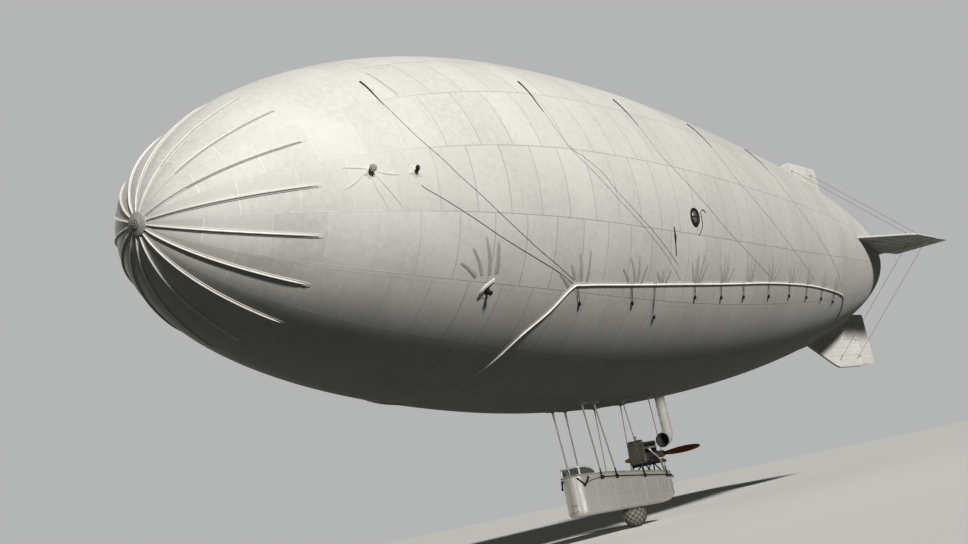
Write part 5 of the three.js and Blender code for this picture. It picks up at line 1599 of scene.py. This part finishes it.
def controlSkin(way, body):
    r, hinge = tail["nose"], tail["hinge"]
    deep = r - 0.003
    rings = []
    for out, cut in controlRows():
        dip = tail["sag"] * 0.7 * ribbed(out)
        fromTip = min(1.0, min(out - tail["inner"], tail["span"] - out) / 0.03 * 0.6 + 0.4)
        ring = []
        for k in range(9):  # the round nose, drawn back where a lug passes
            turn = pi / 2 + pi * k / 8
            s = max(hinge + r * cos(turn), hinge + deep if cut else 0)
            thick = r * (1 - k / 4) if cut else r * sin(turn)
            ring.append((s, thick * fromTip))
        faces = []
        for t in (0.1, 0.3, 0.5, 0.7, 0.9, 1.0):
            thick = (r + (tail["edge"] - r) * t) * fromTip - dip * (t < 0.95)
            faces.append((hinge + deep + (tail["chord"] - deep) * t - 0.02 * ribbed(out) * (t == 1.0), thick))
        ring += [(s, -thick) for s, thick in faces] + faces[::-1]
        rings.append([tailPlace(s, out, thick, way) for s, thick in ring])
    dress(f"{body}_skin", skinned(rings, angle=40), finCloth, "doped_fabric", body, body=body)


def hingeFittings(way, body):
    lugs, pins = [], []
    r, hinge = tail["lug"], tail["hinge"]
    profile = [(finEnd - 0.03, r), (hinge, r)]
    profile += [(hinge + r * cos(turn), r * sin(turn)) for turn in (pi / 2 - pi * k / 8 for k in range(1, 8))]
    profile += [(hinge, -r), (finEnd - 0.03, -r)]
    for middle in tail["lugs"]:
        lugs.append(skinned([[tailPlace(s, middle + z, thick, way) for s, thick in profile]
                             for z in (-0.02, 0.02)]))
        pins.append(pipe([tailPlace(hinge, middle + z, 0, way) for z in (-r, 0, r)], tail["pin"], 12))
    dress(f"{body}_hinge_lugs", lugs, darkPaint, "dark_metal")
    dress(f"{body}_hinge_pins", pins, bareMetal, "dark_metal", body=body)


def ribTape(way, out, start, end, thick, thin):  # on both faces, from a half thickness to another
    across, up = ((tailPlace(start, out + more, face, way) - tailPlace(start, out, 0, way)).normalized()
                  for more, face in ((1, 0), (0, 1)))
    pieces = []
    for face in (1, -1):
        path = [tailPlace(start + (end - start) * i / 4, out, face * (thick + (thin - thick) * i / 4), way)
                for i in range(5)]
        pieces.append(swept([(place, across, up * face) for place in path], tail["tape"]))
    return pieces


def ribTapes():  # narrow tapes over the ribs
    fixed, hinged = [], {body: [] for body in tail["moving"].values()}
    hinge, half, slope = tail["hinge"], tail["thick"] / 2, (tail["nose"] - tail["edge"]) * 0.05
    for way in tail["fins"]:
        for k in range(6, int((tail["outer"] - 0.2) / tail["ribs"])):
            out = (k + 0.5) * tail["ribs"]
            first, last = finLead(out) + 0.2, hinge + 0.36 if way == "up" else finEnd - 0.04
            while radiusAt(first) > out - 0.06:
                first += 0.05
            fixed += ribTape(way, out, first, last, half, half)
            if way != "up" and tail["inner"] + 0.05 < out < tail["span"] - 0.05:
                hinged[tail["moving"][way]] += ribTape(way, out, hinge + 0.13, hinge + 0.95 * tail["chord"],
                                                       tail["nose"] - slope, tail["edge"] + slope)
    dress("fin_tapes", fixed, tapeCloth, "doped_fabric")
    for body, pieces in hinged.items():
        dress(f"{body}_tapes", pieces, tapeCloth, "doped_fabric", body=body)


def stayFittings():  # the stays keep their wires, with a finish, and gain turnbuckles
    spots = []
    for s in tail["stays"]:
        for side in sides.values():
            for up in (1, -1):
                ends = [at(s, 0, tailAxis + up * 4.4), at(s, side * 4.4, tailAxis)]
                along = (ends[1] - ends[0]).normalized()
                spots += [(ends[0] + along * 0.075 * shown, along), (ends[1] - along * 0.075 * shown, -along)]
    dress("stay_turnbuckles", copies(turned(tail["stayEnd"], 10), spots), bareMetal, "dark_metal")
    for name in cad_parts:
        if name.endswith("_stay"):
            finishNode(name, steelRope)


for way, node in tail["fins"].items():
    finSkin(way, node, tail["hinge"] + 0.4 if way == "up" else finEnd)
for way, body in tail["moving"].items():
    controlSkin(way, body)
ribTapes()
for way, body in tail["moving"].items():
    hingeFittings(way, body)
stayFittings()
print("tail covered")


# Floor, light and sky of the picture

room = {
    "floor": -4.27, "half": 60.0, "floorTone": "#d4d2cd", "sky": "#dfe0e0",
    "seen": 0.5, "fill": 0.11,  # the sky is seen brighter than it lights
    "key light": ((0.33, 0.77, 0.54), 3.2, 6),  # towards it, its strength, and its width in degrees
    "low light": ((0.66, 0.74, 0.1), 1.6, 24),
    "far light": ((-0.2, -0.93, 0.3), 0.9, 24),  # lights the side that the picture doesn't show
    "under": -2.2,
}


def litBy(name, pieces, only):  # a soft light that falls on these pieces only, or on all but them
    toLight, strength, width = room[name]
    light = bpy.data.objects.new(name, bpy.data.lights.new(name, "SUN"))
    bpy.context.collection.objects.link(light)
    light.rotation_euler = Vector(toLight).to_track_quat("Z", "Y").to_euler()
    light.data.energy = strength
    light.data.angle = radians(width)
    linked = bpy.data.collections.new(f"{name} pieces")
    for piece in pieces:
        linked.objects.link(piece)
    for member in linked.collection_objects:
        member.light_linking.link_state = "INCLUDE" if only else "EXCLUDE"
    light.light_linking.receiver_collection = linked


def studio():
    # the gondola hangs in the hull's shade, and gets its light from low down ahead instead
    shaded = [piece for piece in bpy.context.scene.objects if piece.type == "MESH"
              and max((piece.matrix_world @ Vector(corner)).z for corner in piece.bound_box) < room["under"]]
    deselect()
    bpy.ops.mesh.primitive_plane_add(size=2 * room["half"], location=(0, 0, room["floor"]))
    ground = bpy.context.object
    ground.name = "floor"
    ground.data.materials.append(newFinish("pale floor", 0.9, Base_Color=room["floorTone"])[0])
    ground.visible_diffuse = False  # the floor is pale, but throws no light up at the belly
    litBy("key light", shaded, False)
    litBy("low light", shaded, True)
    litBy("far light", [ground], False)
    world = bpy.data.worlds.new("pale sky")
    bpy.context.scene.world = world
    world.use_nodes = True
    looked = addNode(world.node_tree, "LightPath").outputs["Is Camera Ray"]
    strength = addNode(world.node_tree, "MapRange", [looked, 0.0, 1.0, room["fill"], room["seen"]])
    wire(world.node_tree.nodes["Background"], {"Color": room["sky"], "Strength": strength})
    bpy.context.scene.view_settings.view_transform = "Standard"
    bpy.context.scene.view_settings.look = "High Contrast"


studio()
print("room lit")
